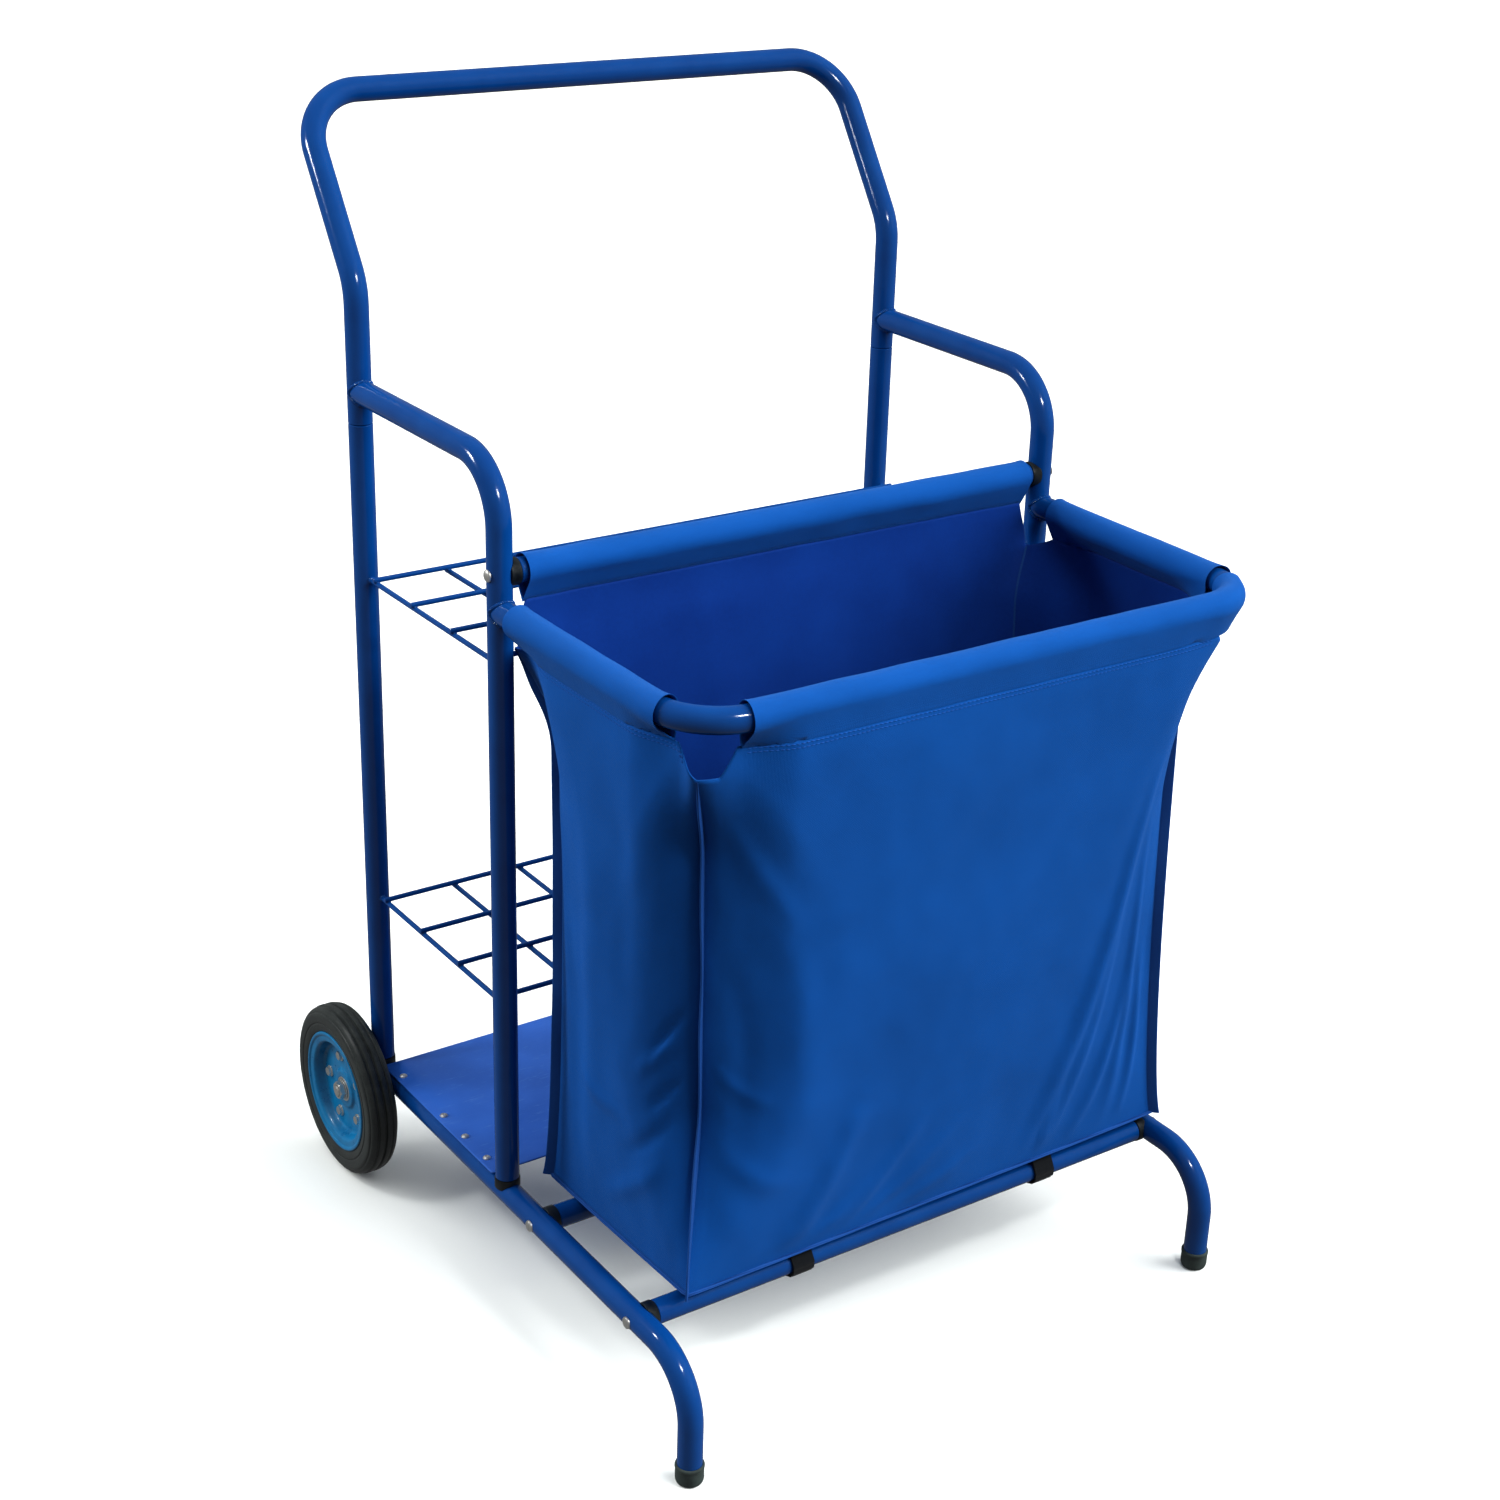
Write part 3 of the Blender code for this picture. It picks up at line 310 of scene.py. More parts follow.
REAR_LOW, REAR_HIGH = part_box("rear_upright_left")
HOOP_LOW, HOOP_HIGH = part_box("side_hoop_left")
HANDLE_LOW, HANDLE_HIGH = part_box("handle_tube")
REAR_Y = (REAR_LOW.y + REAR_HIGH.y) / 2
FRONT_Y = HOOP_LOW.y + TUBE_R
UPRIGHT_FOOT_Z = REAR_LOW.z
ARM_Z = HOOP_HIGH.z - TUBE_R
HANDLE_JOINT_Z = HANDLE_LOW.z
HANDLE_TOP_Y = HANDLE_HIGH.y - TUBE_R
HANDLE_TOP_Z = HANDLE_HIGH.z - TUBE_R
LEAN_START_Z = 1.030
JOINT_EASE = 0.0009

WELD_R = 0.0021
WELD_RIPPLE = 0.0018


def add_weld(mesh, points, sides=10):
    """Closed weld bead along a loop of points, its radius swelling once for each ripple."""
    count = len(points)
    rings = []
    travelled = 0.0
    for k, point in enumerate(points):
        heading = (points[(k + 1) % count] - points[k - 1]).normalized()
        travelled += (points[(k + 1) % count] - point).length
        first = heading.orthogonal().normalized()
        swell = WELD_R * (1 + 0.16 * math.sin(math.tau * travelled / WELD_RIPPLE))
        rings.append(add_ring(mesh, point, first, heading.cross(first), [swell] * sides))
    for lower, upper in zip(rings, rings[1:] + rings[:1]):
        start = min(range(sides), key=lambda n: (upper[n].co - lower[0].co).length)
        for k in range(sides):
            n = (k + 1) % sides
            mesh.faces.new((lower[k], lower[n], upper[(start + n) % sides], upper[(start + k) % sides]))


def cope_loop(centre, branch, run, count=120):
    """The line on which a tube along branch meets the side of an equal tube along run."""
    branch, run = Vector(branch), Vector(run)
    across = run.cross(branch)
    least = TUBE_R * 0.18
    loop = []
    for k in range(count):
        offset, height = TUBE_R * math.cos(math.tau * k / count), TUBE_R * math.sin(math.tau * k / count)
        reach = max(math.sqrt(max(TUBE_R ** 2 - offset ** 2, 0)), least)
        loop.append(Vector(centre) + across * offset + run * height + branch * reach)
    return loop


tube_piece("handle", [
    (-HALF_TRACK, REAR_Y, HANDLE_JOINT_Z), (-HALF_TRACK, REAR_Y, LEAN_START_Z),
    (-HALF_TRACK, HANDLE_TOP_Y, HANDLE_TOP_Z), (HALF_TRACK, HANDLE_TOP_Y, HANDLE_TOP_Z),
    (HALF_TRACK, REAR_Y, LEAN_START_Z), (HALF_TRACK, REAR_Y, HANDLE_JOINT_Z)],
    ["handle_tube"], edge=JOINT_EASE)
welds = bmesh.new()
for side, sign in SIDES:
    x = sign * HALF_TRACK
    tube_piece(f"rear_post_{side}", [(x, REAR_Y, UPRIGHT_FOOT_Z), (x, REAR_Y, HANDLE_JOINT_Z - 0.0003)],
               [f"rear_upright_{side}"], edge=JOINT_EASE)
    tube_piece(f"arm_and_post_{side}",
               [(x, REAR_Y, ARM_Z), (x, FRONT_Y, ARM_Z), (x, FRONT_Y, UPRIGHT_FOOT_Z)],
               [f"side_hoop_{side}"])
    add_weld(welds, cope_loop((x, REAR_Y, ARM_Z), (0, -1, 0), (0, 0, 1)))
finished("arm_welds", welds, tube_coat)


# Cross bars. Straight tubes bolted between the rails under the bag, and one between the front
# uprights that carries the bag's back sleeve. Same tube and same coat as the rails.

BAR_AXES = {}
for bar, node in (("front", "cross_bar_front"), ("middle", "cross_bar_middle"), ("back", "bag_back_bar")):
    low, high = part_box(node)
    BAR_AXES[bar] = axis = (low + high) / 2
    tube_piece(f"{bar}_bar", [(low.x, axis.y, axis.z), (high.x, axis.y, axis.z)], [node])


# Saddles. Black polypropylene collars that seat the end of one tube on the side of another. Each is
# hollowed to the tube it sits on, has two short wings down its sides and an eased rim.

SADDLE_R = 0.0135
SADDLE_LOW = 0.0067
SADDLE_TOP = 0.0180
SADDLE_SEAT_R = TUBE_R + 0.0002
POSTS = {"rear": REAR_Y, "front": FRONT_Y}


def add_saddle(mesh, place, stand, run, sides=64):
    """Collar about the stand axis whose lower edge follows the tube that runs along run."""
    place, stand, run = Vector(place), Vector(stand), Vector(run)
    across = run.cross(stand)
    rings = []
    for radius, raised in ((SADDLE_R - 0.0016, 0.0), (SADDLE_R - 0.0004, 0.0), (SADDLE_R, 0.0005)):
        ring = []
        for k in range(sides):
            angle = math.tau * k / sides
            offset = radius * math.cos(angle)
            edge = max(math.sqrt(max(SADDLE_SEAT_R ** 2 - offset ** 2, 0)), SADDLE_LOW) + raised
            ring.append(mesh.verts.new(
                place + across * offset + run * radius * math.sin(angle) + stand * edge))
        rings.append(ring)
    for radius, height in ((SADDLE_R, SADDLE_TOP - 0.0007), (SADDLE_R - 0.0003, SADDLE_TOP - 0.0002),
                           (SADDLE_R - 0.0008, SADDLE_TOP), (TUBE_R - 0.003, SADDLE_TOP)):
        rings.append(add_ring(mesh, place + stand * height, across, run, [radius] * sides))
    join_rings(mesh, rings, closed=True)


for bar, axis in BAR_AXES.items():
    for side, sign in SIDES:
        collar = bmesh.new()
        add_saddle(collar, (sign * HALF_TRACK, axis.y, axis.z), (-sign, 0, 0),
                   (0, 0, 1) if bar == "back" else (0, 1, 0))
        finished(f"{bar}_bar_collar_{side}", collar, saddle_plastic,
                 replaced=[f"{bar}_bar_saddle_{side}"])
for post, y in POSTS.items():
    for side, sign in SIDES:
        collar = bmesh.new()
        add_saddle(collar, (sign * HALF_TRACK, y, RAIL_Z), (0, 0, 1), (0, 1, 0))
        finished(f"{post}_post_collar_{side}", collar, saddle_plastic,
                 replaced=[f"{post}_upright_saddle_{side}"])


# Bolts. Zinc plated steel with a domed head, through the outer tube and its saddle into the end of
# the next tube. The plating is bright and a little cloudy.

BOLT_HEAD_R = 0.0062
BOLT_HEAD_HEIGHT = 0.0036
HEAD_RIM = 0.0009
HEAD_SUNK = 0.0006


def bright_metal(name, bright, cloudy, roughness):
    """Zinc plate or bare aluminium: bright, clouded in patches of 3 mm, with a fine grain of 0.6 mm
    that breaks up what it mirrors."""
    metal = new_finish(name, Metallic=1.0)
    where = add_node(metal, "TexCoord", "Object")
    cloud = add_node(metal, "TexNoise", "Fac",
                     {"Vector": where, "Scale": 1 / 0.003, "Detail": 4.0, "Roughness": 0.6})
    grain = add_node(metal, "TexNoise", "Fac", {"Vector": where, "Scale": 1 / 0.0006, "Detail": 2.0})
    link_shader(
        metal,
        Base_Color=add_node(metal, "ValToRGB", "Color", {"Fac": cloud}, [(0.3, cloudy), (0.7, bright)]),
        Roughness=add_node(metal, "ValToRGB", "Color", {"Fac": cloud},
                           [(0.3, roughness * 1.4), (0.7, roughness * 0.8)]),
        Normal=add_node(metal, "Bump", "Normal", {"Height": grain, "Distance": 0.00001}))
    return metal


zinc = bright_metal("bright zinc plate", "#F4F3EE", "#DADBD9", 0.45)


def domed_head(place, outwards):
    """Domed bolt head with a thin rim, standing on a tube's side."""
    mesh = bmesh.new()
    profile = [(0, 0.0), (BOLT_HEAD_R, 0.0), (BOLT_HEAD_R, HEAD_RIM)]
    for k in range(1, 9):
        angle = math.pi / 2 * k / 8
        profile.append((BOLT_HEAD_R * math.cos(angle),
                        HEAD_RIM + (BOLT_HEAD_HEIGHT - HEAD_RIM) * math.sin(angle)))
    profile[-1] = (0, BOLT_HEAD_HEIGHT)
    turn = Vector((0, 0, 1)).rotation_difference(Vector(outwards)).to_matrix().to_4x4()
    add_turned(mesh, profile, 40, Matrix.Translation(place) @ turn)
    return mesh


for bar, axis in BAR_AXES.items():
    for side, sign in SIDES:
        head = domed_head((sign * (HALF_TRACK + TUBE_R - HEAD_SUNK), axis.y, axis.z), (sign, 0, 0))
        finished(f"{bar}_bar_dome_{side}", head, zinc,
                 replaced=[f"{bar}_bar_bolt_{side}"])
for post, y in POSTS.items():
    for side, sign in SIDES:
        head = domed_head((sign * HALF_TRACK, y, RAIL_Z - TUBE_R + HEAD_SUNK), (0, 0, -1))
        finished(f"{post}_post_dome_{side}", head, zinc,
                 replaced=[f"{post}_upright_bolt_{side}"])


# Floor plate. Sheet steel with eased edges on top of the rails, held by four aluminium pop rivets
# along each. Its coat is thinner and paler than the tubes', and rubbed by what has stood on it.

PLATE_LOW, PLATE_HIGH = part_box("bat_floor_plate")
PLATE_SHEET = 0.002
PLATE_TOP = PLATE_LOW.z + PLATE_SHEET
PLATE_CORNER_R = 0.004
PLATE_EASE = 0.0004
RIVET_SETBACKS = (0.050, 0.147, 0.196, 0.245)


def add_slab(mesh, low, high, corner_r, edge, segments=8):
    """Flat slab with round corners in plan and eased edges."""
    rings = []
    for inset, z in ((edge, low.z), (0, low.z + edge), (0, high.z - edge), (edge, high.z)):
        ring = []
        for sx, sy, start in ((1, 1, 0), (-1, 1, 90), (-1, -1, 180), (1, -1, 270)):
            cx = (high.x if sx > 0 else low.x) - sx * corner_r
            cy = (high.y if sy > 0 else low.y) - sy * corner_r
            for k in range(segments + 1):
                angle = math.radians(start + 90 * k / segments)
                ring.append(mesh.verts.new((cx + (corner_r - inset) * math.cos(angle),
                                            cy + (corner_r - inset) * math.sin(angle), z)))
        rings.append(ring)
    join_rings(mesh, rings, capped=True)


def rubbed_coat():
    """Satin powder coat on sheet: a peel of 2.4 mm, clouds of 50 mm, and paler scuffs, 22 mm long and a
    few mm wide, where things have stood on it."""
    coat = new_finish("pale blue powder coat on sheet, scuffed", IOR=1.5, Coat_Weight=0.15,
                      Coat_Roughness=0.2)
    where = add_node(coat, "TexCoord", "Object")
    peel = add_node(coat, "TexNoise", "Fac", {"Vector": where, "Scale": 1 / 0.0024, "Detail": 1.0})
    cloud = add_node(coat, "TexNoise", "Fac", {"Vector": where, "Scale": 1 / 0.05, "Detail": 3.0})
    stretched = add_node(coat, "Mapping", "Vector",
                         {"Vector": where, "Rotation": (0, 0, 0.6), "Scale": (1.0, 9.0, 1.0)})
    scuff = add_node(coat, "TexNoise", "Fac",
                     {"Vector": stretched, "Scale": 1 / 0.022, "Detail": 5.0, "Roughness": 0.62})
    scuffed = add_node(coat, "ValToRGB", "Color", {"Fac": scuff}, [(0.60, 0.0), (0.72, 1.0)])
    clean = add_node(coat, "ValToRGB", "Color", {"Fac": cloud}, [(0.3, "#2457A8"), (0.7, "#2B60B4")])
    peeled = add_node(coat, "Bump", "Normal", {"Height": peel, "Distance": 0.00004})
    link_shader(
        coat,
        Base_Color=add_node(coat, "Mix", 2, {"Factor": scuffed, 6: clean, 7: srgb("#4473B8")},
                            data_type="RGBA"),
        Roughness=add_node(coat, "ValToRGB", "Color", {"Fac": scuff}, [(0.5, 0.32), (0.72, 0.5)]),
        Normal=add_node(coat, "Bump", "Normal", {"Height": scuffed, "Distance": 0.00002, "Normal": peeled}))
    return coat


sheet_coat = rubbed_coat()
plate = bmesh.new()
add_slab(plate, PLATE_LOW, Vector((PLATE_HIGH.x, PLATE_HIGH.y, PLATE_TOP)), PLATE_CORNER_R, PLATE_EASE)
finished("floor_plate", plate, sheet_coat, replaced=["bat_floor_plate"], crease=50)
rivet_aluminium = bright_metal("pop rivet aluminium", "#F4F5F6", "#DDE0E3", 0.5)
rivets = bmesh.new()
for _, sign in SIDES:
    for setback in RIVET_SETBACKS:
        add_turned(rivets, [
            (0, -0.0005), (0.0045, -0.0005), (0.0045, 0.0003), (0.0042, 0.0009), (0.0034, 0.0016),
            (0.0024, 0.0021), (0.0015, 0.00235), (0.0012, 0.0019), (0, 0.0017)], 32,
            Matrix.Translation((sign * HALF_TRACK, REAR_Y - setback, PLATE_TOP)))
finished("floor_plate_rivets", rivets, rivet_aluminium)


# Wire grids. Two racks of welded 5.5 mm wire, each 8 by 3 cells. The wires are spot welded where
# they cross, sunk a little into each other with a small bulge of metal, and the ends of the
# outermost ones are welded to the uprights.

WIRE_R = 0.00275
WIRE_OFFSET = WIRE_R * 0.8
WIRE_LAP = WIRE_R * 1.6
WIRE_EASE = 0.0005
GRID_BACK_Y = REAR_Y - 0.026
GRID_FRONT_Y = REAR_Y - 0.279
GRID_ROWS = [GRID_BACK_Y + (GRID_FRONT_Y - GRID_BACK_Y) * row / 3 for row in range(4)]
GRID_COLUMNS = [HALF_TRACK * (2 * column / 8 - 1) for column in range(9)]


def add_bead(mesh, place, radius, squeeze=(1, 1, 1), around=12):
    """Small bead of weld metal, squeezed along the axes."""
    bmesh.ops.create_uvsphere(mesh, u_segments=around, v_segments=8, radius=radius,
                              matrix=Matrix.Translation(place) @ Matrix.Diagonal((*squeeze, 1)))


for name, node in (("lower_grid", "lower_wire_grid"), ("upper_guard", "upper_wire_guard")):
    low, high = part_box(node)
    z = (low.z + high.z) / 2
    wires = bmesh.new()
    for y in GRID_ROWS:
        end = HALF_TRACK + WIRE_LAP
        add_sweep(wires, [(-end, y, z + WIRE_OFFSET), (end, y, z + WIRE_OFFSET)], WIRE_R, 20, WIRE_EASE)
    for x in GRID_COLUMNS:
        at_side = abs(abs(x) - HALF_TRACK) < 0.001
        back, front = GRID_ROWS[0] + WIRE_LAP, GRID_ROWS[-1] - WIRE_LAP
        if at_side:
            back, front = REAR_Y - TUBE_R * 0.95, FRONT_Y + TUBE_R * 0.95
        add_sweep(wires, [(x, back, z - WIRE_OFFSET), (x, front, z - WIRE_OFFSET)], WIRE_R, 20, WIRE_EASE)
        for y in GRID_ROWS:
            add_bead(wires, (x, y, z), WIRE_R, (1.25, 1.25, 0.7), 14)
        if at_side:
            for touch in (REAR_Y - TUBE_R - 0.0004, FRONT_Y + TUBE_R + 0.0004):
                add_bead(wires, (x, touch, z - WIRE_OFFSET), WIRE_R * 1.5, (1, 0.55, 1), 16)
    finished(name, wires, tube_coat, replaced=[node])


# Axle and what holds it. One bright steel bar runs from wheel to wheel through two brackets of
# steel plate welded under the rails' back ends. A spacer tube stands inside each wheel, and a
# washer and a hexagon nut outside it.

AXLE_LOW, AXLE_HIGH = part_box("axle")
AXLE_R = 0.00635
AXLE_Y = (AXLE_LOW.y + AXLE_HIGH.y) / 2
AXLE_Z = (AXLE_LOW.z + AXLE_HIGH.z) / 2
AXLE_HALF = AXLE_HIGH.x
AXLE_CHAMFER = 0.0009
BORE_R = AXLE_R + 0.0002
BRACKET_R = 0.016
NUT_FLATS = 0.0095


def along_x(x, sign=1):
    """Places local Z along the axle."""
    return Matrix.Translation((x, AXLE_Y, AXLE_Z)) @ Matrix.Rotation(sign * math.pi / 2, 4, "Y")


def axle_seat(node, sign):
    """Where a round part's inner end sits on the axle, its length and its outer radius."""
    low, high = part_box(node)
    return along_x(high.x if sign < 0 else low.x, sign), high.x - low.x, (high.y - low.y) / 2


def hexagon_rings(mesh, place, flats, levels, narrow, sides):
    """Loops of a hexagon bar, one for each (height, chamfer), its corners turned down by the chamfer."""
    shoulder = flats / math.cos(math.pi / 6)
    rings = []
    for height, chamfer in levels:
        ring = []
        for k in range(sides):
            angle = math.tau * k / sides
            to_flat = flats / math.cos((angle + math.pi / 6) % (math.pi / 3) - math.pi / 6)
            reach = min(to_flat, shoulder - (shoulder - narrow) * chamfer)
            ring.append(mesh.verts.new(
                place @ Vector((reach * math.cos(angle), reach * math.sin(angle), height))))
        rings.append(ring)
    return rings


axle = bmesh.new()
add_turned(axle, [(0, -AXLE_HALF), (AXLE_R - AXLE_CHAMFER, -AXLE_HALF), (AXLE_R, -AXLE_HALF + AXLE_CHAMFER),
                  (AXLE_R, AXLE_HALF - AXLE_CHAMFER), (AXLE_R - AXLE_CHAMFER, AXLE_HALF), (0, AXLE_HALF)],
           48, along_x(0))
finished("axle_bar", axle, zinc, replaced=["axle"])

for side, sign in SIDES:
    low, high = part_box(f"axle_bracket_{side}")
    thick = high.x - low.x
    half, top = (high.y - low.y) / 2, high.z - AXLE_Z + 0.001
    outline = [(half, top), (-half, top)]
    for k in range(25):
        angle = math.pi + math.pi * k / 24
        outline.append((BRACKET_R * math.cos(angle), BRACKET_R * math.sin(angle)))
    bracket = bmesh.new()
    rings = []
    for inset, dx in ((CUT_EASE, 0), (0, CUT_EASE), (0, thick - CUT_EASE), (CUT_EASE, thick)):
        ring = []
        for y, z in outline:
            pull = 1 - inset / max(math.hypot(y, z), 0.001)
            ring.append(bracket.verts.new((low.x + dx, AXLE_Y + y * pull, AXLE_Z + z * pull)))
        rings.append(ring)
    join_rings(bracket, rings, capped=True)
    for x in (low.x - 0.0008, high.x + 0.0008):
        for k in range(13):
            add_bead(bracket, (x, AXLE_Y - half + 2 * half * k / 12, high.z - 0.0002), 0.0019)
    finished(f"axle_hanger_{side}", bracket, tube_coat,
             replaced=[f"axle_bracket_{side}"])

    for part, edge in (("spacer", 0.0004), ("washer", 0.0002)):
        place, length, outer = axle_seat(f"axle_{part}_{side}", sign)
        sleeve = bmesh.new()
        add_turned(sleeve, [(BORE_R, 0), (outer - edge, 0), (outer, edge), (outer, length - edge),
                            (outer - edge, length), (BORE_R, length)], 64, place, closed=True)
        finished(f"wheel_{part}_{side}", sleeve, zinc,
                 replaced=[f"axle_{part}_{side}"])

    place, thick, _ = axle_seat(f"axle_nut_{side}", sign)
    nut = bmesh.new()
    levels = ((0, 0), (thick * 0.55, 0), (thick * 0.78, 0.25), (thick, 1))
    rings = hexagon_rings(nut, place, NUT_FLATS, levels, NUT_FLATS, 72)
    for radius, height in ((AXLE_R + 0.0008, thick), (BORE_R, thick - 0.0008), (BORE_R, 0)):
        rings.append(turned_ring(nut, place, radius, height, 72))
    join_rings(nut, rings, closed=True)
    finished(f"wheel_nut_{side}", nut, zinc, replaced=[f"axle_nut_{side}"], crease=25)


# Wheels. A solid grey rubber tyre with plain grooves round its tread sits on a rim pressed from two
# sheet steel dishes, which five bolts hold together. The hub is a turned steel sleeve on the axle.

TYRE_LOW, TYRE_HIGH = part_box("left_tyre")
WHEEL_R = (TYRE_HIGH.y - TYRE_LOW.y) / 2
TYRE_HALF = (TYRE_HIGH.x - TYRE_LOW.x) / 2
WHEEL_X = -(TYRE_LOW.x + TYRE_HIGH.x) / 2
TREAD_GROOVE = 0.0026
RIM_LIP_R = 0.070
RIM_WELL_R = 0.059
RIM_FLANGE = TYRE_HALF * 0.80
RIM_FACE = 0.0002 + 0.0022
RIM_BOLT_CIRCLE_R = 0.040
RIM_BOLT_FIRST = math.radians(14)
RIM_BOLT_FLATS = 0.0048
RIM_BOLT_HEAD = 0.0034
RIM_WASHER_R = 0.0068
RIM_WASHER = 0.0008


def tyre_rubber_finish():
    """Worn tyre rubber: dull dark grey, with specks of 1 mm and pale dust in patches of 20 mm."""
    rubber = new_finish("grey tyre rubber", IOR=1.5)
    where = add_node(rubber, "TexCoord", "Object")
    dust = add_node(rubber, "TexNoise", "Fac",
                    {"Vector": where, "Scale": 1 / 0.02, "Detail": 5.0, "Roughness": 0.65})
    speck = add_node(rubber, "TexNoise", "Fac",
                     {"Vector": where, "Scale": 1 / 0.0011, "Detail": 3.0, "Roughness": 0.7})
    speckled = add_node(rubber, "ValToRGB", "Color", {"Fac": speck}, [(0.45, 0.0), (0.8, 0.5)])
    dusty = add_node(rubber, "ValToRGB", "Color", {"Fac": dust}, [(0.3, "#1F2324"), (0.75, "#363B3A")])
    uneven = add_node(rubber, "Bump", "Normal", {"Height": dust, "Distance": 0.0003})
    link_shader(
        rubber,
        Base_Color=add_node(rubber, "Mix", 2, {"Factor": speckled, 6: dusty, 7: srgb("#4C5150")},
                            data_type="RGBA"),
        Roughness=add_node(rubber, "ValToRGB", "Color", {"Fac": dust}, [(0.3, 0.34), (0.7, 0.52)]),
        Normal=add_node(rubber, "Bump", "Normal", {"Height": speck, "Distance": 0.00005, "Normal": uneven}))
    return rubber


def rim_coat_finish():
    """Light blue enamel on pressed sheet: a clean gloss with a peel of 2 mm, dulled by dust in patches
    of 14 mm."""
    enamel = new_finish("light blue rim enamel", IOR=1.5, Coat_Weight=0.2, Coat_Roughness=0.1)
    where = add_node(enamel, "TexCoord", "Object")
    dust = add_node(enamel, "TexNoise", "Fac",
                    {"Vector": where, "Scale": 1 / 0.014, "Detail": 4.0, "Roughness": 0.6})
    peel = add_node(enamel, "TexNoise", "Fac", {"Vector": where, "Scale": 1 / 0.002, "Detail": 1.0})
    link_shader(
        enamel,
        Base_Color=add_node(enamel, "ValToRGB", "Color", {"Fac": dust},
                            [(0.3, "#055C88"), (0.75, "#0F72A0")]),
        Roughness=add_node(enamel, "ValToRGB", "Color", {"Fac": dust}, [(0.3, 0.24), (0.75, 0.42)]),
        Normal=add_node(enamel, "Bump", "Normal", {"Height": peel, "Distance": 0.00004}))
    return enamel


tyre_rubber = tyre_rubber_finish()
rim_enamel = rim_coat_finish()


def tyre_section():
    """Half of the tyre's section as (inwards from the tread, aside), from its middle groove round to
    the rim seat."""
    half = TYRE_HALF
    section = [
        (TREAD_GROOVE, 0.0), (TREAD_GROOVE, 0.0011), (0.0001, 0.0019), (0.0003, 0.0070),
        (TREAD_GROOVE, 0.0078), (TREAD_GROOVE, 0.0094), (0.0013, 0.0103), (0.0028, 0.0135),
        (0.0052, 0.0158), (0.0072, 0.0160), (0.0078, 0.0172), (0.0100, half), (0.0180, half),
        (0.0188, half - 0.0009), (0.0200, half - 0.0009), (0.0208, half - 0.0001), (0.0262, half - 0.0012)]
    return [(WHEEL_R - depth, aside) for depth, aside in section] + [
        (RIM_LIP_R + 0.0006, half * 0.86), (RIM_LIP_R - 0.001, RIM_FLANGE - 0.0004),
        (RIM_WELL_R + 0.0004, RIM_FLANGE - 0.0004)]


def rim_section():
    """Outer face of one pressed dish from the hub out to the rolled lip, then back inside it."""
    face, flange = RIM_FACE, RIM_FLANGE
    return [
        (0.0124, 0.0003), (0.0124, face + 0.0018), (0.0150, face + 0.0030), (0.0215, face + 0.0030),
        (0.0245, face), (0.0515, face), (0.0540, face + 0.0014), (0.0556, face + 0.0060),
        (0.0566, flange - 0.0030), (0.0590, flange + 0.0002), (0.0640, flange + 0.0008),
        (0.0656, flange + 0.0010), (0.0672, flange + 0.0026), (0.0696, flange + 0.0028),
        (0.0708, flange + 0.0014), (0.0700, flange + 0.0003), (RIM_WELL_R, flange), (RIM_WELL_R, 0.0003)]


def add_rim_bolt(mesh, place):
    """Hexagon bolt head with its corners chamfered, on a thin washer."""
    add_turned(mesh, [(0, 0), (RIM_WASHER_R, 0), (RIM_WASHER_R, 0.0006),
                      (RIM_WASHER_R - 0.0002, RIM_WASHER), (0, RIM_WASHER)], 32, place)
    levels = [(RIM_WASHER + RIM_BOLT_HEAD * share, chamfer)
              for share, chamfer in ((0, 0.0), (0.72, 0.0), (0.9, 0.4), (1, 1.0))]
    rings = hexagon_rings(mesh, place, RIM_BOLT_FLATS, levels, RIM_BOLT_FLATS * 0.93, 36)
    join_rings(mesh, rings, capped=True)


for side, sign in SIDES:
    body = f"{side}_wheel"
    middle_x = sign * WHEEL_X
    half_section = tyre_section()
    section = half_section + [(r, -h) for r, h in half_section[:0:-1]]
    tyre = bmesh.new()
    smooth_section = rounded(section + section[:1], 0.0009, 2)
    add_turned(tyre, smooth_section[:-1], 144, along_x(middle_x, sign), closed=True)
    finished(f"{side}_solid_tyre", tyre, tyre_rubber, body, [f"{side}_tyre"], crease=28)
    bolts = bmesh.new()
    for dish_name, facing in (("outer", sign), ("inner", -sign)):
        dish = bmesh.new()
        add_turned(dish, rounded(rim_section(), 0.0016, 3), 112, along_x(middle_x, facing), closed=True)
        finished(f"{side}_{dish_name}_dish", dish, rim_enamel, body,
                 [f"{side}_rim_{dish_name}"], crease=40)
        for k in range(5):
            angle = RIM_BOLT_FIRST + math.tau * k / 5
            spot = Vector((math.cos(angle), math.sin(angle), 0)) * RIM_BOLT_CIRCLE_R
            spot.z = RIM_FACE
            add_rim_bolt(bolts, along_x(middle_x, facing) @ Matrix.Translation(spot))
    finished(f"{side}_rim_bolts", bolts, zinc, body, crease=25)
    place, length, boss = axle_seat(f"{side}_hub_sleeve", sign)
    hub = bmesh.new()
    add_turned(hub, [(AXLE_R + 0.0001, 0), (boss - 0.0008, 0), (boss, 0.0008), (boss, length - 0.0008),
                     (boss - 0.0008, length), (boss - 0.004, length), (boss - 0.0046, length - 0.0006),
                     (AXLE_R + 0.002, length - 0.0006), (AXLE_R + 0.0001, length)], 64, place, closed=True)
    finished(f"{side}_hub", hub, zinc, body, [f"{side}_hub_sleeve"], crease=25)


# Bag ring. A U of the same tube, level, its two ends coped and welded to the front uprights. The
# bag hides it but for the two bends at the front corners and a little at each weld.

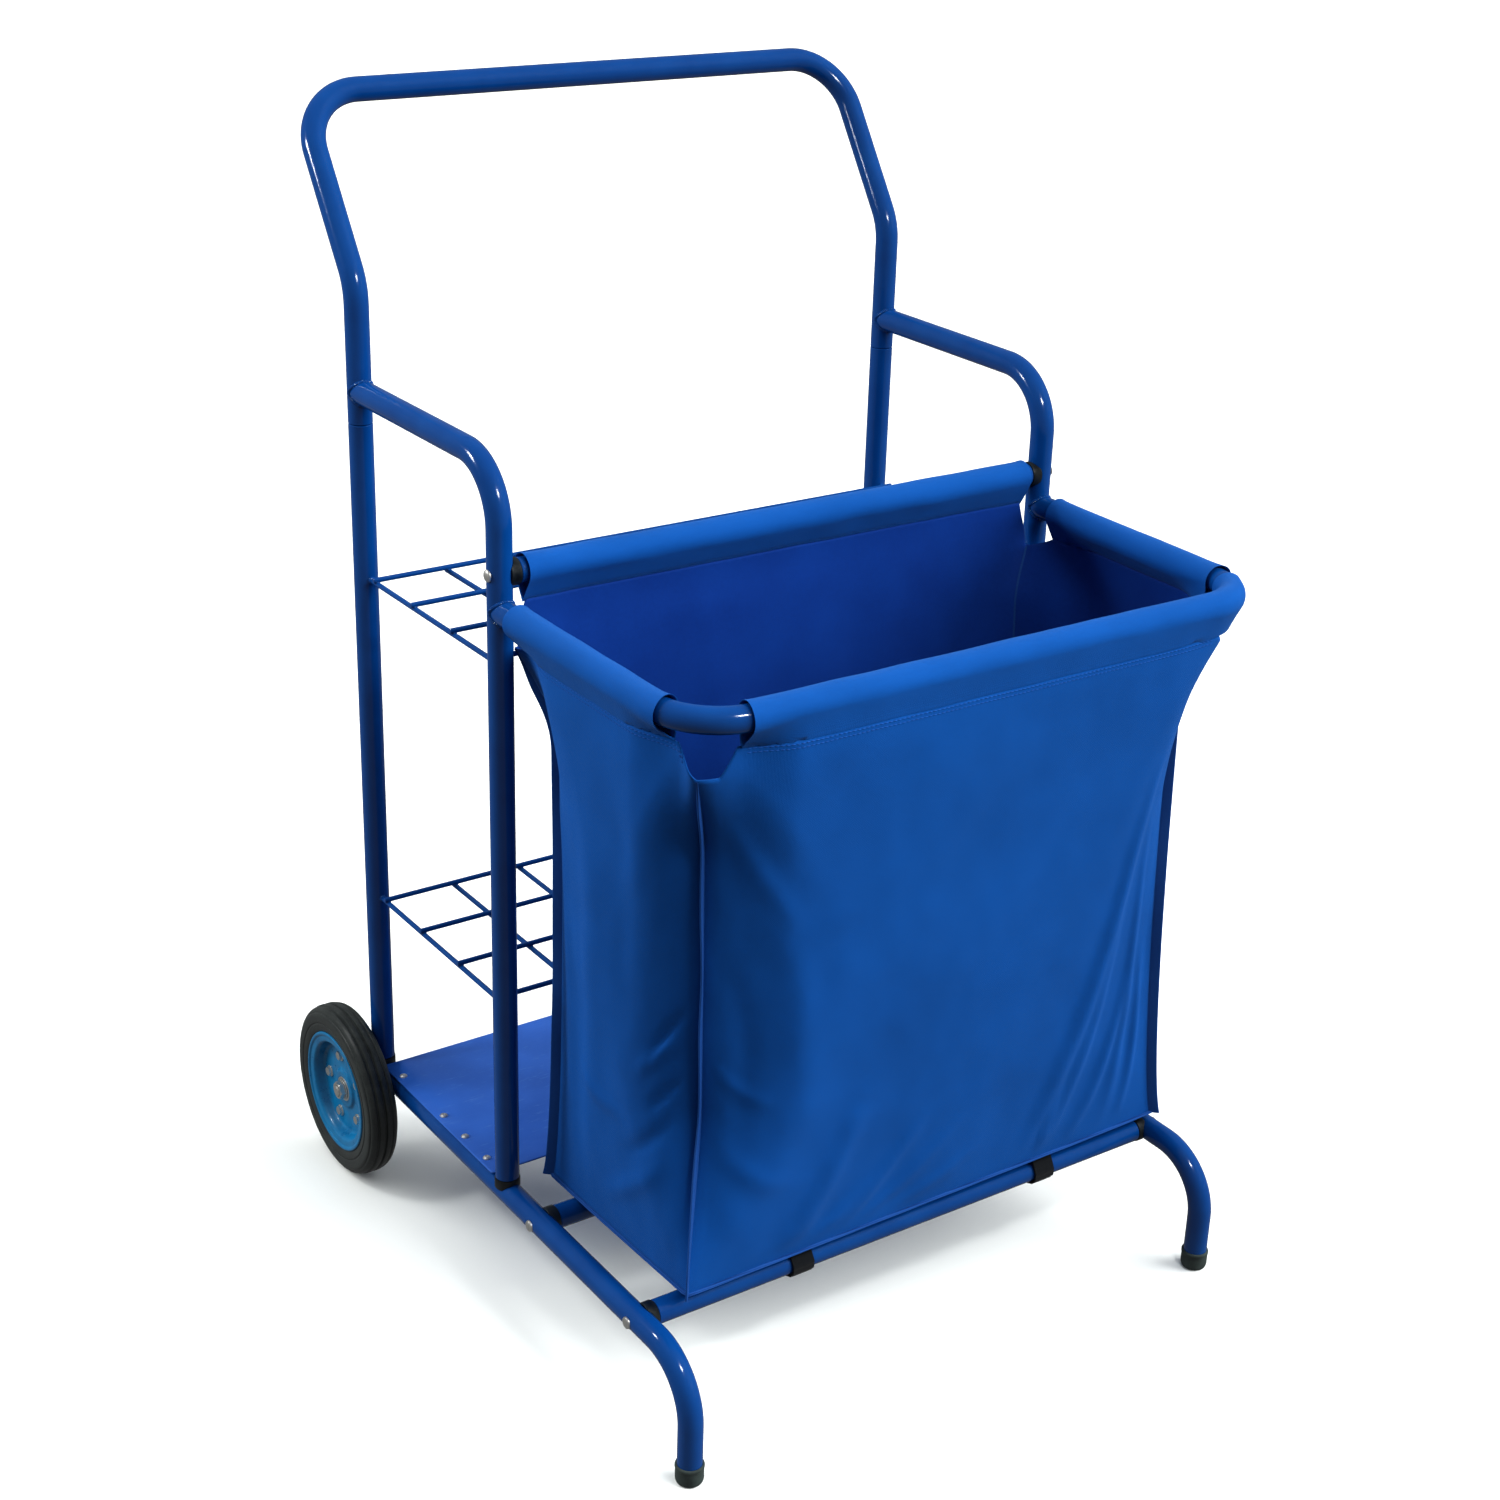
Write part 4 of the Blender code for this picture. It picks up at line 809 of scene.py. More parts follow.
RING_LOW, RING_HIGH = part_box("bag_ring")
RING_Z = (RING_LOW.z + RING_HIGH.z) / 2
RING_FRONT_Y = RING_LOW.y + TUBE_R
tube_piece("ring_tube", [(-HALF_TRACK, FRONT_Y, RING_Z), (-HALF_TRACK, RING_FRONT_Y, RING_Z),
                         (HALF_TRACK, RING_FRONT_Y, RING_Z), (HALF_TRACK, FRONT_Y, RING_Z)],
           ["bag_ring"])
welds = bmesh.new()
for _, sign in SIDES:
    add_weld(welds, cope_loop((sign * HALF_TRACK, FRONT_Y, RING_Z), (0, -1, 0), (0, 0, 1)))
finished("ring_welds", welds, tube_coat)


# Bag. Four panels and a floor of blue Oxford nylon, coated inside, each panel with a sleeve sewn
# round its rim. The corners are cut out round the ring's bends, the upright seams are turned
# outwards and bound, and the cloth is drawn in below the corners and pulled into shallow folds.

SLEEVE_R = TUBE_R + 0.0028
BACK_BAR_Z = BAR_AXES["back"].z
BACK_BAR_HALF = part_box("bag_back_bar")[1].x
BAG_FLOOR_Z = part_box("bag")[0].z
SEAM_TOP_Z = RING_Z - 0.0195
CLOTH = 0.0012
HEM_DROP = 0.031
HEM_OUT = 0.0085
HEM_TUCK = 0.0025
HEM_REACH = math.hypot(HEM_OUT, HEM_DROP)
HEM_TURN = math.atan2(HEM_OUT, HEM_DROP)
# How far out from straight below its rim each hem lies, in radians. The left and the back one hang
# nearly straight down, the back one to stay clear of the wire guard.
HEM_TURNS = {"front": HEM_TURN, "right": HEM_TURN, "back": HEM_TURN - 0.22, "left": HEM_TURN - 0.20}
HANG_FADE = 0.20

# For each corner: its place on the floor from the rim's corner, how far the seam is drawn in, the
# share of the height over which that comes and goes, where the seam's upper end is, and how far
# its lower end is lifted.
Corner = namedtuple("Corner", "on_floor drawn_in rise fall seam_top lift")
CORNERS = {
    ("rear", 1): Corner(Vector((-0.010, -0.020)), Vector((-0.034, -0.012)), 0.14, 1.0, 0.738, 0.002),
    ("front", 1): Corner(Vector((0.000, 0.066)), Vector((-0.078, 0.030)), 0.13, 1.0, 0.725, 0.008),
    ("front", -1): Corner(Vector((0.050, 0.064)), Vector((0.042, 0.044)), 0.23, 0.32, 0.722, 0.0),
    ("rear", -1): Corner(Vector((0.043, -0.020)), Vector((0.062, -0.008)), 0.22, 1.0, 0.740, 0.0),
}
PANELS = {
    "front": (("front", -1), ("front", 1), Vector((0, -1))),
    "right": (("front", 1), ("rear", 1), Vector((1, 0))),
    "back": (("rear", 1), ("rear", -1), Vector((0, 1))),
    "left": (("rear", -1), ("front", -1), Vector((-1, 0))),
}


def eased(value):
    """From 0 to 1, starting and ending smoothly."""
    value = min(max(value, 0.0), 1.0)
    return value * value * (3 - 2 * value)


def rim_corner(end, sign):
    """Where the centre lines of two rims meet, in plan."""
    return Vector((sign * HALF_TRACK, FRONT_Y if end == "rear" else RING_FRONT_Y))


def seam_depth(z):
    """Share of the way down a seam, from 0 at its top to 1 at the floor."""
    return min(max((SEAM_TOP_Z - z) / (SEAM_TOP_Z - BAG_FLOOR_Z), 0.0), 1.0)


def seam_shift(corner, depth):
    """How far the cloth is drawn in from the straight line between rim corner and floor corner."""
    at = CORNERS[corner]
    fade = eased((1 - depth) / at.fall) if at.fall < 1 else (1 - depth) ** 0.7
    return at.drawn_in * eased((depth + 0.05) / (at.rise + 0.05)) * fade


def seam_place(corner, z):
    """A point on one upright seam."""
    depth = seam_depth(z)
    straight = rim_corner(*corner) + CORNERS[corner].on_floor * depth
    flat = straight + seam_shift(corner, depth)
    return Vector((flat.x, flat.y, z))


def drawn_reach(panel, corner, depth):
    """How far from a seam its pull still shows in the panel. It shows farthest at half height."""
    swell = math.sin(math.pi * min(depth / 0.96, 1.0))
    if corner == ("front", -1):
        return 0.034 + (0.145 if panel == "front" else 0.095) * swell
    if corner == ("rear", -1):
        return 0.105 + 0.060 * swell
    return 0.060 + 0.085 * swell + 0.04 * depth


# Folds: for each panel, curves from start by bend to end, each point as the distance along the panel
# and the height above the ground, with the fold's height and half width.
FOLDS = {
    "front": [
        ((0.187, 0.150), (0.235, 0.190), (0.300, 0.270), 0.0042, 0.0080),
        ((0.200, 0.148), (0.265, 0.172), (0.345, 0.245), 0.0034, 0.0075),
        ((0.235, 0.148), (0.300, 0.160), (0.380, 0.205), 0.0028, 0.0070),
        ((0.110, 0.150), (0.170, 0.190), (0.215, 0.320), 0.0048, 0.0140),
        ((0.140, 0.148), (0.190, 0.165), (0.235, 0.215), 0.0034, 0.0090),
        ((0.450, 0.160), (0.535, 0.330), (0.578, 0.640), 0.0062, 0.0120),
        ((0.485, 0.160), (0.530, 0.260), (0.556, 0.440), 0.0048, 0.0080),
        ((0.478, 0.152), (0.483, 0.190), (0.500, 0.245), 0.0034, 0.0055),
        ((0.520, 0.155), (0.570, 0.240), (0.590, 0.370), 0.0044, 0.0085),
        ((0.575, 0.170), (0.610, 0.330), (0.592, 0.540), 0.0042, 0.0095),
        ((0.600, 0.165), (0.632, 0.250), (0.625, 0.380), 0.0034, 0.0080),
        ((0.034, 0.668), (0.070, 0.600), (0.124, 0.540), 0.0026, 0.0150),
        ((0.070, 0.580), (0.150, 0.470), (0.120, 0.280), 0.0040, 0.0260),
        ((0.030, 0.500), (0.075, 0.420), (0.045, 0.320), -0.0026, 0.0170),
        ((0.012, 0.390), (0.050, 0.352), (0.095, 0.345), 0.0020, 0.0090),
        ((0.020, 0.300), (0.070, 0.262), (0.125, 0.240), 0.0022, 0.0130),
    ],
    "left": [
        ((0.165, 0.640), (0.155, 0.450), (0.110, 0.200), 0.0044, 0.0230),
        ((0.215, 0.660), (0.225, 0.520), (0.200, 0.400), -0.0030, 0.0220),
        ((0.316, 0.452), (0.285, 0.430), (0.255, 0.385), -0.0040, 0.0075),
        ((0.312, 0.420), (0.280, 0.405), (0.235, 0.370), 0.0034, 0.0090),
        ((0.310, 0.372), (0.285, 0.358), (0.255, 0.330), -0.0042, 0.0075),
        ((0.305, 0.330), (0.262, 0.300), (0.205, 0.262), -0.0030, 0.0100),
        ((0.285, 0.280), (0.230, 0.230), (0.150, 0.190), 0.0030, 0.0120),
        ((0.050, 0.640), (0.070, 0.450), (0.060, 0.200), 0.0034, 0.0180),
        ((0.100, 0.330), (0.150, 0.300), (0.200, 0.310), 0.0024, 0.0100),
    ],
    "right": [
        ((0.060, 0.640), (0.090, 0.420), (0.070, 0.200), 0.0045, 0.0180),
        ((0.160, 0.690), (0.150, 0.450), (0.190, 0.180), 0.0035, 0.0220),
        ((0.250, 0.680), (0.230, 0.420), (0.250, 0.170), -0.0035, 0.0180),
        ((0.030, 0.420), (0.080, 0.360), (0.130, 0.240), -0.0040, 0.0110),
        ((0.300, 0.520), (0.250, 0.420), (0.200, 0.200), 0.0036, 0.0120),
    ],
    "back": [
        ((0.090, 0.700), (0.120, 0.480), (0.080, 0.200), 0.0045, 0.0200),
        ((0.240, 0.740), (0.260, 0.480), (0.220, 0.170), 0.0035, 0.0260),
        ((0.420, 0.730), (0.400, 0.460), (0.440, 0.180), -0.0035, 0.0240),
        ((0.540, 0.700), (0.500, 0.420), (0.560, 0.200), 0.0045, 0.0200),
    ],
}
FOLD_STEPS = 14


def fold_line(start, bend, end):
    """Short straight runs along a fold, each as its start and its length in both directions."""
    line = []
    for k in range(FOLD_STEPS + 1):
        t = k / FOLD_STEPS
        line.append([start[n] * (1 - t) ** 2 + bend[n] * 2 * t * (1 - t) + end[n] * t ** 2 for n in (0, 1)])
    return [(x, z, far_x - x, far_z - z) for (x, z), (far_x, far_z) in zip(line, line[1:])]


FOLD_LINES = {panel: [(fold_line(*curve[:3]), curve[3], curve[4]) for curve in curves]
              for panel, curves in FOLDS.items()}


def fold_height(panel, along_panel, z):
    """Height of all of a panel's folds at one point of it."""
    total = 0.0
    for runs, height, width in FOLD_LINES[panel]:
        nearest, place = (3 * width) ** 2, None
        for k, (x, low, dx, dz) in enumerate(runs):
            t = ((along_panel - x) * dx + (z - low) * dz) / (dx * dx + dz * dz)
            t = min(max(t, 0.0), 1.0)
            gap = (along_panel - x - dx * t) ** 2 + (z - low - dz * t) ** 2
            if gap < nearest:
                nearest, place = gap, (k + t) / FOLD_STEPS
        if place is not None:
            swell = math.sin(math.pi * min(max(place, 0.02), 0.98)) ** 0.7
            total += height * swell * math.exp(-nearest / width ** 2)
    return total


def panel_length(panel):
    """Length of a panel's rim between the rim's corners."""
    first, last, _ = PANELS[panel]
    return (rim_corner(*last) - rim_corner(*first)).length


# How each panel is cut away at a corner: the level part beside the seam, and where the hem starts.
CUTS = {("front", -1): (0.030, 0.0515), ("front", 1): (0.0, 0.0515),
        ("left", -1): (0.004, 0.034), ("left", 1): (0.0, 0.040),
        ("right", -1): (0.010, 0.052), ("right", 1): (0.004, 0.034),
        ("back", -1): (0.004, 0.024), ("back", 1): (0.004, 0.024)}


def hem_height(panel):
    """Height of the upper edge of a panel's cloth, tucked in behind its sleeve's hem."""
    return (BACK_BAR_Z if panel == "back" else RING_Z) - HEM_DROP + HEM_TUCK


# For each end of a sleeve: how far the hem swings inwards there, in radians, how much its tail is cut
# back, as a share of its depth, and how far the sleeve goes on past the tail.
SWINGS = {
    ("front", -1): (0.50, 0.0, 0.0), ("front", 1): (0.12, 0.0, 0.058),
    ("left", -1): (0.30, 0.0, 0.0), ("left", 1): (0.45, 0.0, 0.0),
    ("right", -1): (0.60, 0.30, 0.0), ("right", 1): (0.30, 0.0, 0.0),
    ("back", -1): (0.05, 0.0, 0.0), ("back", 1): (0.05, 0.0, 0.0)}
SWING_REACH = 0.060
SLANT_REACH = 0.045
# The back panel bulges less, clear of the wire guard behind it.
BULGES = {"front": 0.007, "right": 0.007, "back": 0.002, "left": 0.007}
# Lumps of about 110 and 30 mm: their height, their number in a metre along and up, and a shift.
CRUMPLES = ((0.0022, 9, 6, 3.3), (0.0007, 34, 22, 5.1))


def near_end(panel, s):
    """The corner a point of a panel is nearer to, its distance from there, and that end's cut and swing."""
    first, last, _ = PANELS[panel]
    if s < 0.5:
        return first, s * panel_length(panel), CUTS[panel, -1], SWINGS[panel, -1]
    return last, (1 - s) * panel_length(panel), CUTS[panel, 1], SWINGS[panel, 1]


def panel_top(panel, s):
    """Height of a panel's upper edge: its hem, cut away towards the open corners."""
    corner, distance, (level_part, hem_start), _ = near_end(panel, s)
    t = min(max((distance - level_part) / (hem_start - level_part), 0.0), 1.0)
    seam_top = CORNERS[corner].seam_top
    return seam_top + (hem_height(panel) - seam_top) * (0.75 * t + 0.25 * t ** 3)


def panel_foot(panel, s):
    """Height of a panel's lower edge."""
    first, last, _ = PANELS[panel]
    return BAG_FLOOR_Z + CORNERS[first].lift * (1 - s) + CORNERS[last].lift * s


def panel_place(panel, s, z):
    """A point of a panel, s along it from 0 to 1, before its folds."""
    first, last, _ = PANELS[panel]
    depth = seam_depth(z)
    start = rim_corner(*first) + CORNERS[first].on_floor * depth
    end = rim_corner(*last) + CORNERS[last].on_floor * depth
    length = (end - start).length
    flat = start.lerp(end, s)
    for corner, distance in ((first, s * length), (last, (1 - s) * length)):
        t = min(distance / drawn_reach(panel, corner, depth), 1.0)
        flat = flat + seam_shift(corner, depth) * (1 - t) ** 1.8
    return flat


def cloth_place(panel, s, v):
    """A point of a panel's cloth with its sag, crumple and folds, v from 0 at the top to 1 at the
    floor, and its place on the flat cloth. It hangs from the hem and bulges between its edges."""
    outwards = PANELS[panel][2]
    _, from_end, (_, hem_start), (swing, _, _) = near_end(panel, s)
    top = panel_top(panel, s)
    z = top + (panel_foot(panel, s) + CLOTH - top) * v
    x = s * panel_length(panel)
    fade = min(1.0, from_end / 0.02) * eased(v / 0.08) * eased((1 - v) / 0.05)
    turned = HEM_TURNS[panel] - swing * (1 - eased((from_end - hem_start) / SWING_REACH))
    hang = HEM_REACH * math.sin(turned) * eased(from_end / hem_start)
    hang *= eased(1 - (hem_height(panel) - z) / HANG_FADE)
    bulge = BULGES[panel] * math.sin(math.pi * s) ** 0.6 * math.sin(math.pi * v) ** 0.7
    crumple = sum(height * noise.noise(Vector((x * along, z * up, len(panel) * shift)))
                  for height, along, up, shift in CRUMPLES)
    relief = hang + bulge + (crumple + fold_height(panel, x, z)) * fade
    flat = panel_place(panel, s, z) + outwards * relief
    return Vector((flat.x, flat.y, z)), (x, z)


def along_cloth(step, steps):
    """Share of the way along a panel, closer set towards its two seams."""
    u = step / steps
    return u - 0.6 * math.sin(math.tau * u) / math.tau


def panel_surface(panel, columns, rows):
    """Columns of (place, cloth coordinates), from the panel's upper edge down to the floor."""
    return [[cloth_place(panel, along_cloth(i, columns), j / rows) for j in range(rows + 1)]
            for i in range(columns + 1)]


WAVE_SCALE = 0.31416  # of a wave texture whose period is one unit


def oxford_cloth(name, light, dark, coated):
    """Oxford nylon: a plain weave of doubled yarns. The yarns are 0.6 mm, drawn here as 1.2 mm so that
    the weave shows. Painted shade darkens the weave between the yarns' crowns, so the crowns show paler;
    slubs of 4 mm and clouds of 110 mm vary the tone, and the cloth has a soft sheen at grazing angles.
    The coating fills the weave and gives a little gloss."""
    cloth = new_finish(name, IOR=1.5, Specular_IOR_Level=0.12, Sheen_Weight=0.06, Sheen_Roughness=0.45,
                       Sheen_Tint=srgb("#BFE2FF"))
    yarn = 0.0012
    where = add_node(cloth, "UVMap", "UV", uv_map="cloth")
    warp, weft = [add_node(cloth, "TexWave", "Fac", {"Vector": where, "Scale": WAVE_SCALE / yarn},
                           bands_direction=way) for way in "XY"]
    over = add_node(cloth, "TexChecker", "Fac", {"Vector": where, "Scale": 1 / yarn})
    weave = add_node(cloth, "Mix", 0, {0: over, 2: warp, 3: weft})
    slub = add_node(cloth, "TexNoise", "Fac",
                    {"Vector": where, "Scale": 1 / 0.004, "Detail": 3.0, "Roughness": 0.7})
    cloud = add_node(cloth, "TexNoise", "Fac", {"Vector": where, "Scale": 1 / 0.11, "Detail": 3.0})
    tone = add_node(cloth, "Mix", 0, {0: 0.35, 2: cloud, 3: slub})
    crowns = add_node(cloth, "ValToRGB", "Color", {"Fac": tone}, [(0.35, dark), (0.65, light)])
    # Painted shade: where the weave is low, between the yarns' crowns, the colour is mixed up to 35 %
    # towards the dark colour.
    painted_weave_shade = add_node(cloth, "ValToRGB", "Color", {"Fac": weave}, [(0.2, 0.35), (0.9, 0.0)])
    slubbed = add_node(cloth, "Bump", "Normal", {"Height": slub, "Distance": 0.00010})
    link_shader(
        cloth,
        Base_Color=add_node(cloth, "Mix", 2, {"Factor": painted_weave_shade, 6: crowns, 7: srgb(dark)},
                            data_type="RGBA"),
        Roughness=add_node(cloth, "ValToRGB", "Color", {"Fac": slub},
                           [(0.3, 0.5 if coated else 0.62), (0.7, 0.62 if coated else 0.78)]),
        Normal=add_node(cloth, "Bump", "Normal", {
            "Height": weave, "Distance": 0.00006 if coated else 0.00014, "Normal": slubbed}))
    return cloth


def add_cloth(mesh, grid, uv_layer, closed=False):
    """Faces over a grid of (place, cloth coordinates), the grid's columns side by side."""
    verts = [[mesh.verts.new(point) for point, _ in column] for column in grid]
    count = len(grid[0])
    for i in range(len(grid) - 1):
        for j in range(count if closed else count - 1):
            n = (j + 1) % count
            corners = ((i, j), (i, n), (i + 1, n), (i + 1, j))
            face = mesh.faces.new([verts[a][b] for a, b in corners])
            for loop, (a, b) in zip(face.loops, corners):
                loop[uv_layer].uv = grid[a][b][1]


bag_cloth = oxford_cloth("blue oxford nylon", "#11529B", "#0E4A8D", coated=False)
bag_lining = oxford_cloth("coated inside of oxford nylon", "#123C86", "#0F3276", coated=True)
COLUMNS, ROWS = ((140, 120))
bag_mesh = bmesh.new()
cloth_uv = bag_mesh.loops.layers.uv.new("cloth")
for panel in PANELS:
    add_cloth(bag_mesh, panel_surface(panel, COLUMNS, ROWS), cloth_uv)

floor_grid = []
for i in range(COLUMNS + 1):
    near = cloth_place("front", along_cloth(i, COLUMNS), 1)[0]
    far = cloth_place("back", 1 - along_cloth(i, COLUMNS), 1)[0]
    floor_grid.append([(near.lerp(far, j / 40), near.lerp(far, j / 40)[:2]) for j in range(41)])
add_cloth(bag_mesh, floor_grid, cloth_uv)
bmesh.ops.remove_doubles(bag_mesh, verts=bag_mesh.verts[:], dist=0.0003)
bag_shell = finished("bag_shell", bag_mesh, bag_cloth, replaced=["bag"], crease=60)
cloth_thickness = bag_shell.modifiers.new("cloth thickness", "SOLIDIFY")
cloth_thickness.thickness = CLOTH
cloth_thickness.offset = 0
cloth_thickness.material_offset = 1
bag_shell.data.materials.append(bag_lining)


def along_path(path, spacing):
    """Even steps along a path, each as the place, the heading and the share of the way."""
    lengths = [(b - a).length for a, b in zip(path, path[1:])]
    total = sum(lengths)
    steps = max(12, round(total / spacing))
    run, passed, walk = 0, 0.0, []
    for k in range(steps + 1):
        target = total * k / steps
        while run < len(lengths) - 1 and passed + lengths[run] < target:
            passed += lengths[run]
            run += 1
        heading = (path[run + 1] - path[run]).normalized()
        walk.append((path[run] + heading * (target - passed), heading, k / steps))
    return walk, total


SLEEVE_SIDES = 64
SLEEVE_WAVE = 0.0006
TAIL_FADE = 0.056
TAIL_TIGHTER = 0.0014
MOUTH_FLARE = 0.0010
MOUTH_REACH = 0.006


def add_sleeve(mesh, uv_layer, path, turn, swings, seed):
    """Tube of cloth round a rim, drawn to a hem below it on the outer side, with its ends turned in.
    Where it goes on past the hem's tail it closes to a plain round sleeve."""
    walk, length = along_path(path, 0.005)
    grid = []
    for place, run, t in walk:
        side = run.cross(Vector((0, 0, 1)))
        to_end = min(t, 1 - t) * length
        swing, slant, past = swings[0 if t < 0.5 else 1]
        from_tail = to_end - past
        turned = turn - swing * (1 - eased(from_tail / SWING_REACH))
        cut_back = slant * min(max(1 - from_tail / SLANT_REACH, 0.0), 1.0) ** 2 * (1 if t < 0.5 else -1)
        drawn = eased(1 + from_tail / TAIL_FADE)
        round_r = SLEEVE_R - TAIL_TIGHTER * (1 - drawn)
        hem_r = round_r + (HEM_REACH - SLEEVE_R) * drawn
        mouth = MOUTH_FLARE * math.exp(-to_end / MOUTH_REACH)
        column = []
        for k in range(SLEEVE_SIDES):
            angle = math.tau * k / SLEEVE_SIDES
            wave = noise.noise(Vector(
                (t * length * 22, math.cos(angle) * 0.9, seed + math.sin(angle) * 0.9)))
            from_hem = abs((angle - turned + math.pi) % math.tau - math.pi)
            radius = round_r / math.cos(max(math.acos(round_r / hem_r) - from_hem, 0.0))
            radius = min(radius, max(hem_r - 0.0004, round_r)) + mouth + SLEEVE_WAVE * wave
            offset = side * math.sin(angle) - Vector((0, 0, 1)) * math.cos(angle)
            below = max(0.0, -offset.z * radius - SLEEVE_R / 2)
            column.append((place + offset * radius + run * cut_back * below,
                           (t * length, angle * SLEEVE_R)))
        grid.append(column)
    for shift, (centre, run, _) in ((1, walk[0]), (-1, walk[-1])):
        edge = grid[0] if shift > 0 else grid[-1]
        for tuck, deep in ((0.955, 0.0002), (0.915, 0.0012), (0.90, 0.006)):
            lip = [(centre + (point - centre) * tuck + run * shift * deep, uv) for point, uv in edge]
            grid = [lip] + grid if shift > 0 else grid + [lip]
    add_cloth(mesh, grid, uv_layer, closed=True)


# The sleeves reach these lengths round the ring's bends. The front one goes on round the right
# bend, to 22 mm from its end.
RING_PATH = bent_path([(-HALF_TRACK, FRONT_Y - 0.034, RING_Z), (-HALF_TRACK, RING_FRONT_Y, RING_Z),
                       (HALF_TRACK, RING_FRONT_Y, RING_Z), (HALF_TRACK, FRONT_Y - 0.034, RING_Z)])
LEFT_REACH, FRONT_REACH, RIGHT_REACH = 0.020, 0.010, 0.012
BEND_LEFT_OPEN = 0.022
BAR_END_OPEN = 0.006

sleeves = bmesh.new()
sleeve_uv = sleeves.loops.layers.uv.new("cloth")
SLEEVES = {
    "left": [p for p in RING_PATH if p.x < 0 and p.y - RING_FRONT_Y > BEND_R - LEFT_REACH],
    "front": [p for p in RING_PATH if p.x > BEND_R - FRONT_REACH - HALF_TRACK
              and p.y < RING_FRONT_Y + BEND_R - BEND_LEFT_OPEN],
    "right": [p for p in RING_PATH if p.x > 0 and p.y - RING_FRONT_Y > BEND_R - RIGHT_REACH],
    "back": [Vector((BACK_BAR_HALF - BAR_END_OPEN, FRONT_Y, BACK_BAR_Z)),
             Vector((BAR_END_OPEN - BACK_BAR_HALF, FRONT_Y, BACK_BAR_Z))],
}
for seed, (panel, path) in enumerate(SLEEVES.items()):
    swings = SWINGS[panel, -1], SWINGS[panel, 1]
    add_sleeve(sleeves, sleeve_uv, path, HEM_TURNS[panel], swings, seed * 3.7)
finished("bag_sleeves", sleeves, bag_cloth, crease=60)


# Bag seams. Polyester tape, woven with a fine rib and folded over the cut edges of the panels,
# stands out along the four upright seams and round the floor. Two rows of lockstitch hold each hem.

FLANGE = 0.0125
TAPE = 0.0011
BINDING_R = 0.0030
STITCH = 0.0034
STITCH_GAP = 0.0016
THREAD_R = 0.00038
# The front right tape starts below its seam's upper end, behind the cloth that goes round the bend.
TAPE_TOP = {("front", 1): 0.700}


def ribbed_tape(name, light, dark):
    """Woven polyester tape: ribs of 1 mm across it, fibres of 0.9 mm, drawn coarser than they are so
    that they show, a dull sheen, and painted shade that darkens the tape between the ribs."""
    tape = new_finish(name, IOR=1.5, Specular_IOR_Level=0.15)
    where = add_node(tape, "TexCoord", "Object")
    rib = add_node(tape, "TexWave", "Fac",
                   {"Vector": where, "Scale": WAVE_SCALE / 0.0010, "Distortion": 0.4}, bands_direction="Z")
    fibre = add_node(tape, "TexNoise", "Fac",
                     {"Vector": where, "Scale": 1 / 0.0009, "Detail": 3.0, "Roughness": 0.7})
    # The tone is mostly the ribs' wave, which is painted shade that is darker between the ribs. The rest is
    # the fibres' random tone.
    tone = add_node(tape, "Mix", 0, {0: 0.4, 2: rib, 3: fibre})
    fibrous = add_node(tape, "Bump", "Normal", {"Height": fibre, "Distance": 0.00006})
    link_shader(
        tape,
        Base_Color=add_node(tape, "ValToRGB", "Color", {"Fac": tone}, [(0.25, dark), (0.75, light)]),
        Roughness=add_node(tape, "ValToRGB", "Color", {"Fac": fibre}, [(0.3, 0.7), (0.7, 0.85)]),
        Normal=add_node(tape, "Bump", "Normal", {"Height": rib, "Distance": 0.00012, "Normal": fibrous}))
    return tape


def add_band(mesh, spine, outward, across, half, steps_round=3):
    """Flat rounded band: for each point of its spine, the direction it stands in and that of its
    thickness, of which half is given."""
    rings = []
    for point, out, side in zip(spine, outward, across):
        ring = [point - side * half, point + out * (FLANGE - half) - side * half]
        for n in range(1, steps_round + 1):
            angle = math.pi * n / (steps_round + 1)
            ring.append(point + out * (FLANGE - half + half * math.sin(angle))
                        - side * half * math.cos(angle))
        ring += [point + out * (FLANGE - half) + side * half, point + side * half]
        rings.append([mesh.verts.new(place) for place in ring])
    join_rings(mesh, rings, capped=True)


seam_tape = ribbed_tape("blue polyester binding tape", "#24508F", "#183A70")
flanges = bmesh.new()
for corner, at in CORNERS.items():
    spine, outward, across = [], [], []
    upper, lower = TAPE_TOP.get(corner, at.seam_top - 0.002), BAG_FLOOR_Z + at.lift + 0.001
    for k in range(91):
        z = upper + (lower - upper) * k / 90
        point = seam_place(corner, z)
        sway = 0.25 * noise.noise(Vector((z * 9, corner[1] * 4.0, 2.0 if corner[0] == "front" else 9.0)))
        diagonal = Vector((corner[1], -1 if corner[0] == "front" else 1, 0)).normalized()
        out = Quaternion((0, 0, 1), sway) @ diagonal
        spine.append(point - out * 0.0012)
        outward.append(out * (0.25 + 0.75 * eased(k / 8)))
        across.append(out.cross(Vector((0, 0, 1))))
    add_band(flanges, spine, outward, across, TAPE)
finished("bag_seam_tapes", flanges, seam_tape, crease=50)

piping = bmesh.new()
loop = []
for panel in PANELS:
    for k in range(60):
        loop.append(cloth_place(panel, k / 60, 1)[0] + Vector((0, 0, 0.0004)))
rings = []
for k, point in enumerate(loop):
    heading = (loop[(k + 1) % len(loop)] - loop[k - 1]).normalized()
    out = heading.cross(Vector((0, 0, 1)))
    rings.append(add_ring(piping, point + out * 0.0012, out, Vector((0, 0, 1)),
                          [BINDING_R - 0.0014 * abs(math.sin(math.tau * n / 12)) for n in range(12)]))
join_rings(piping, rings, closed=True)
finished("bag_floor_binding", piping, seam_tape, crease=60)


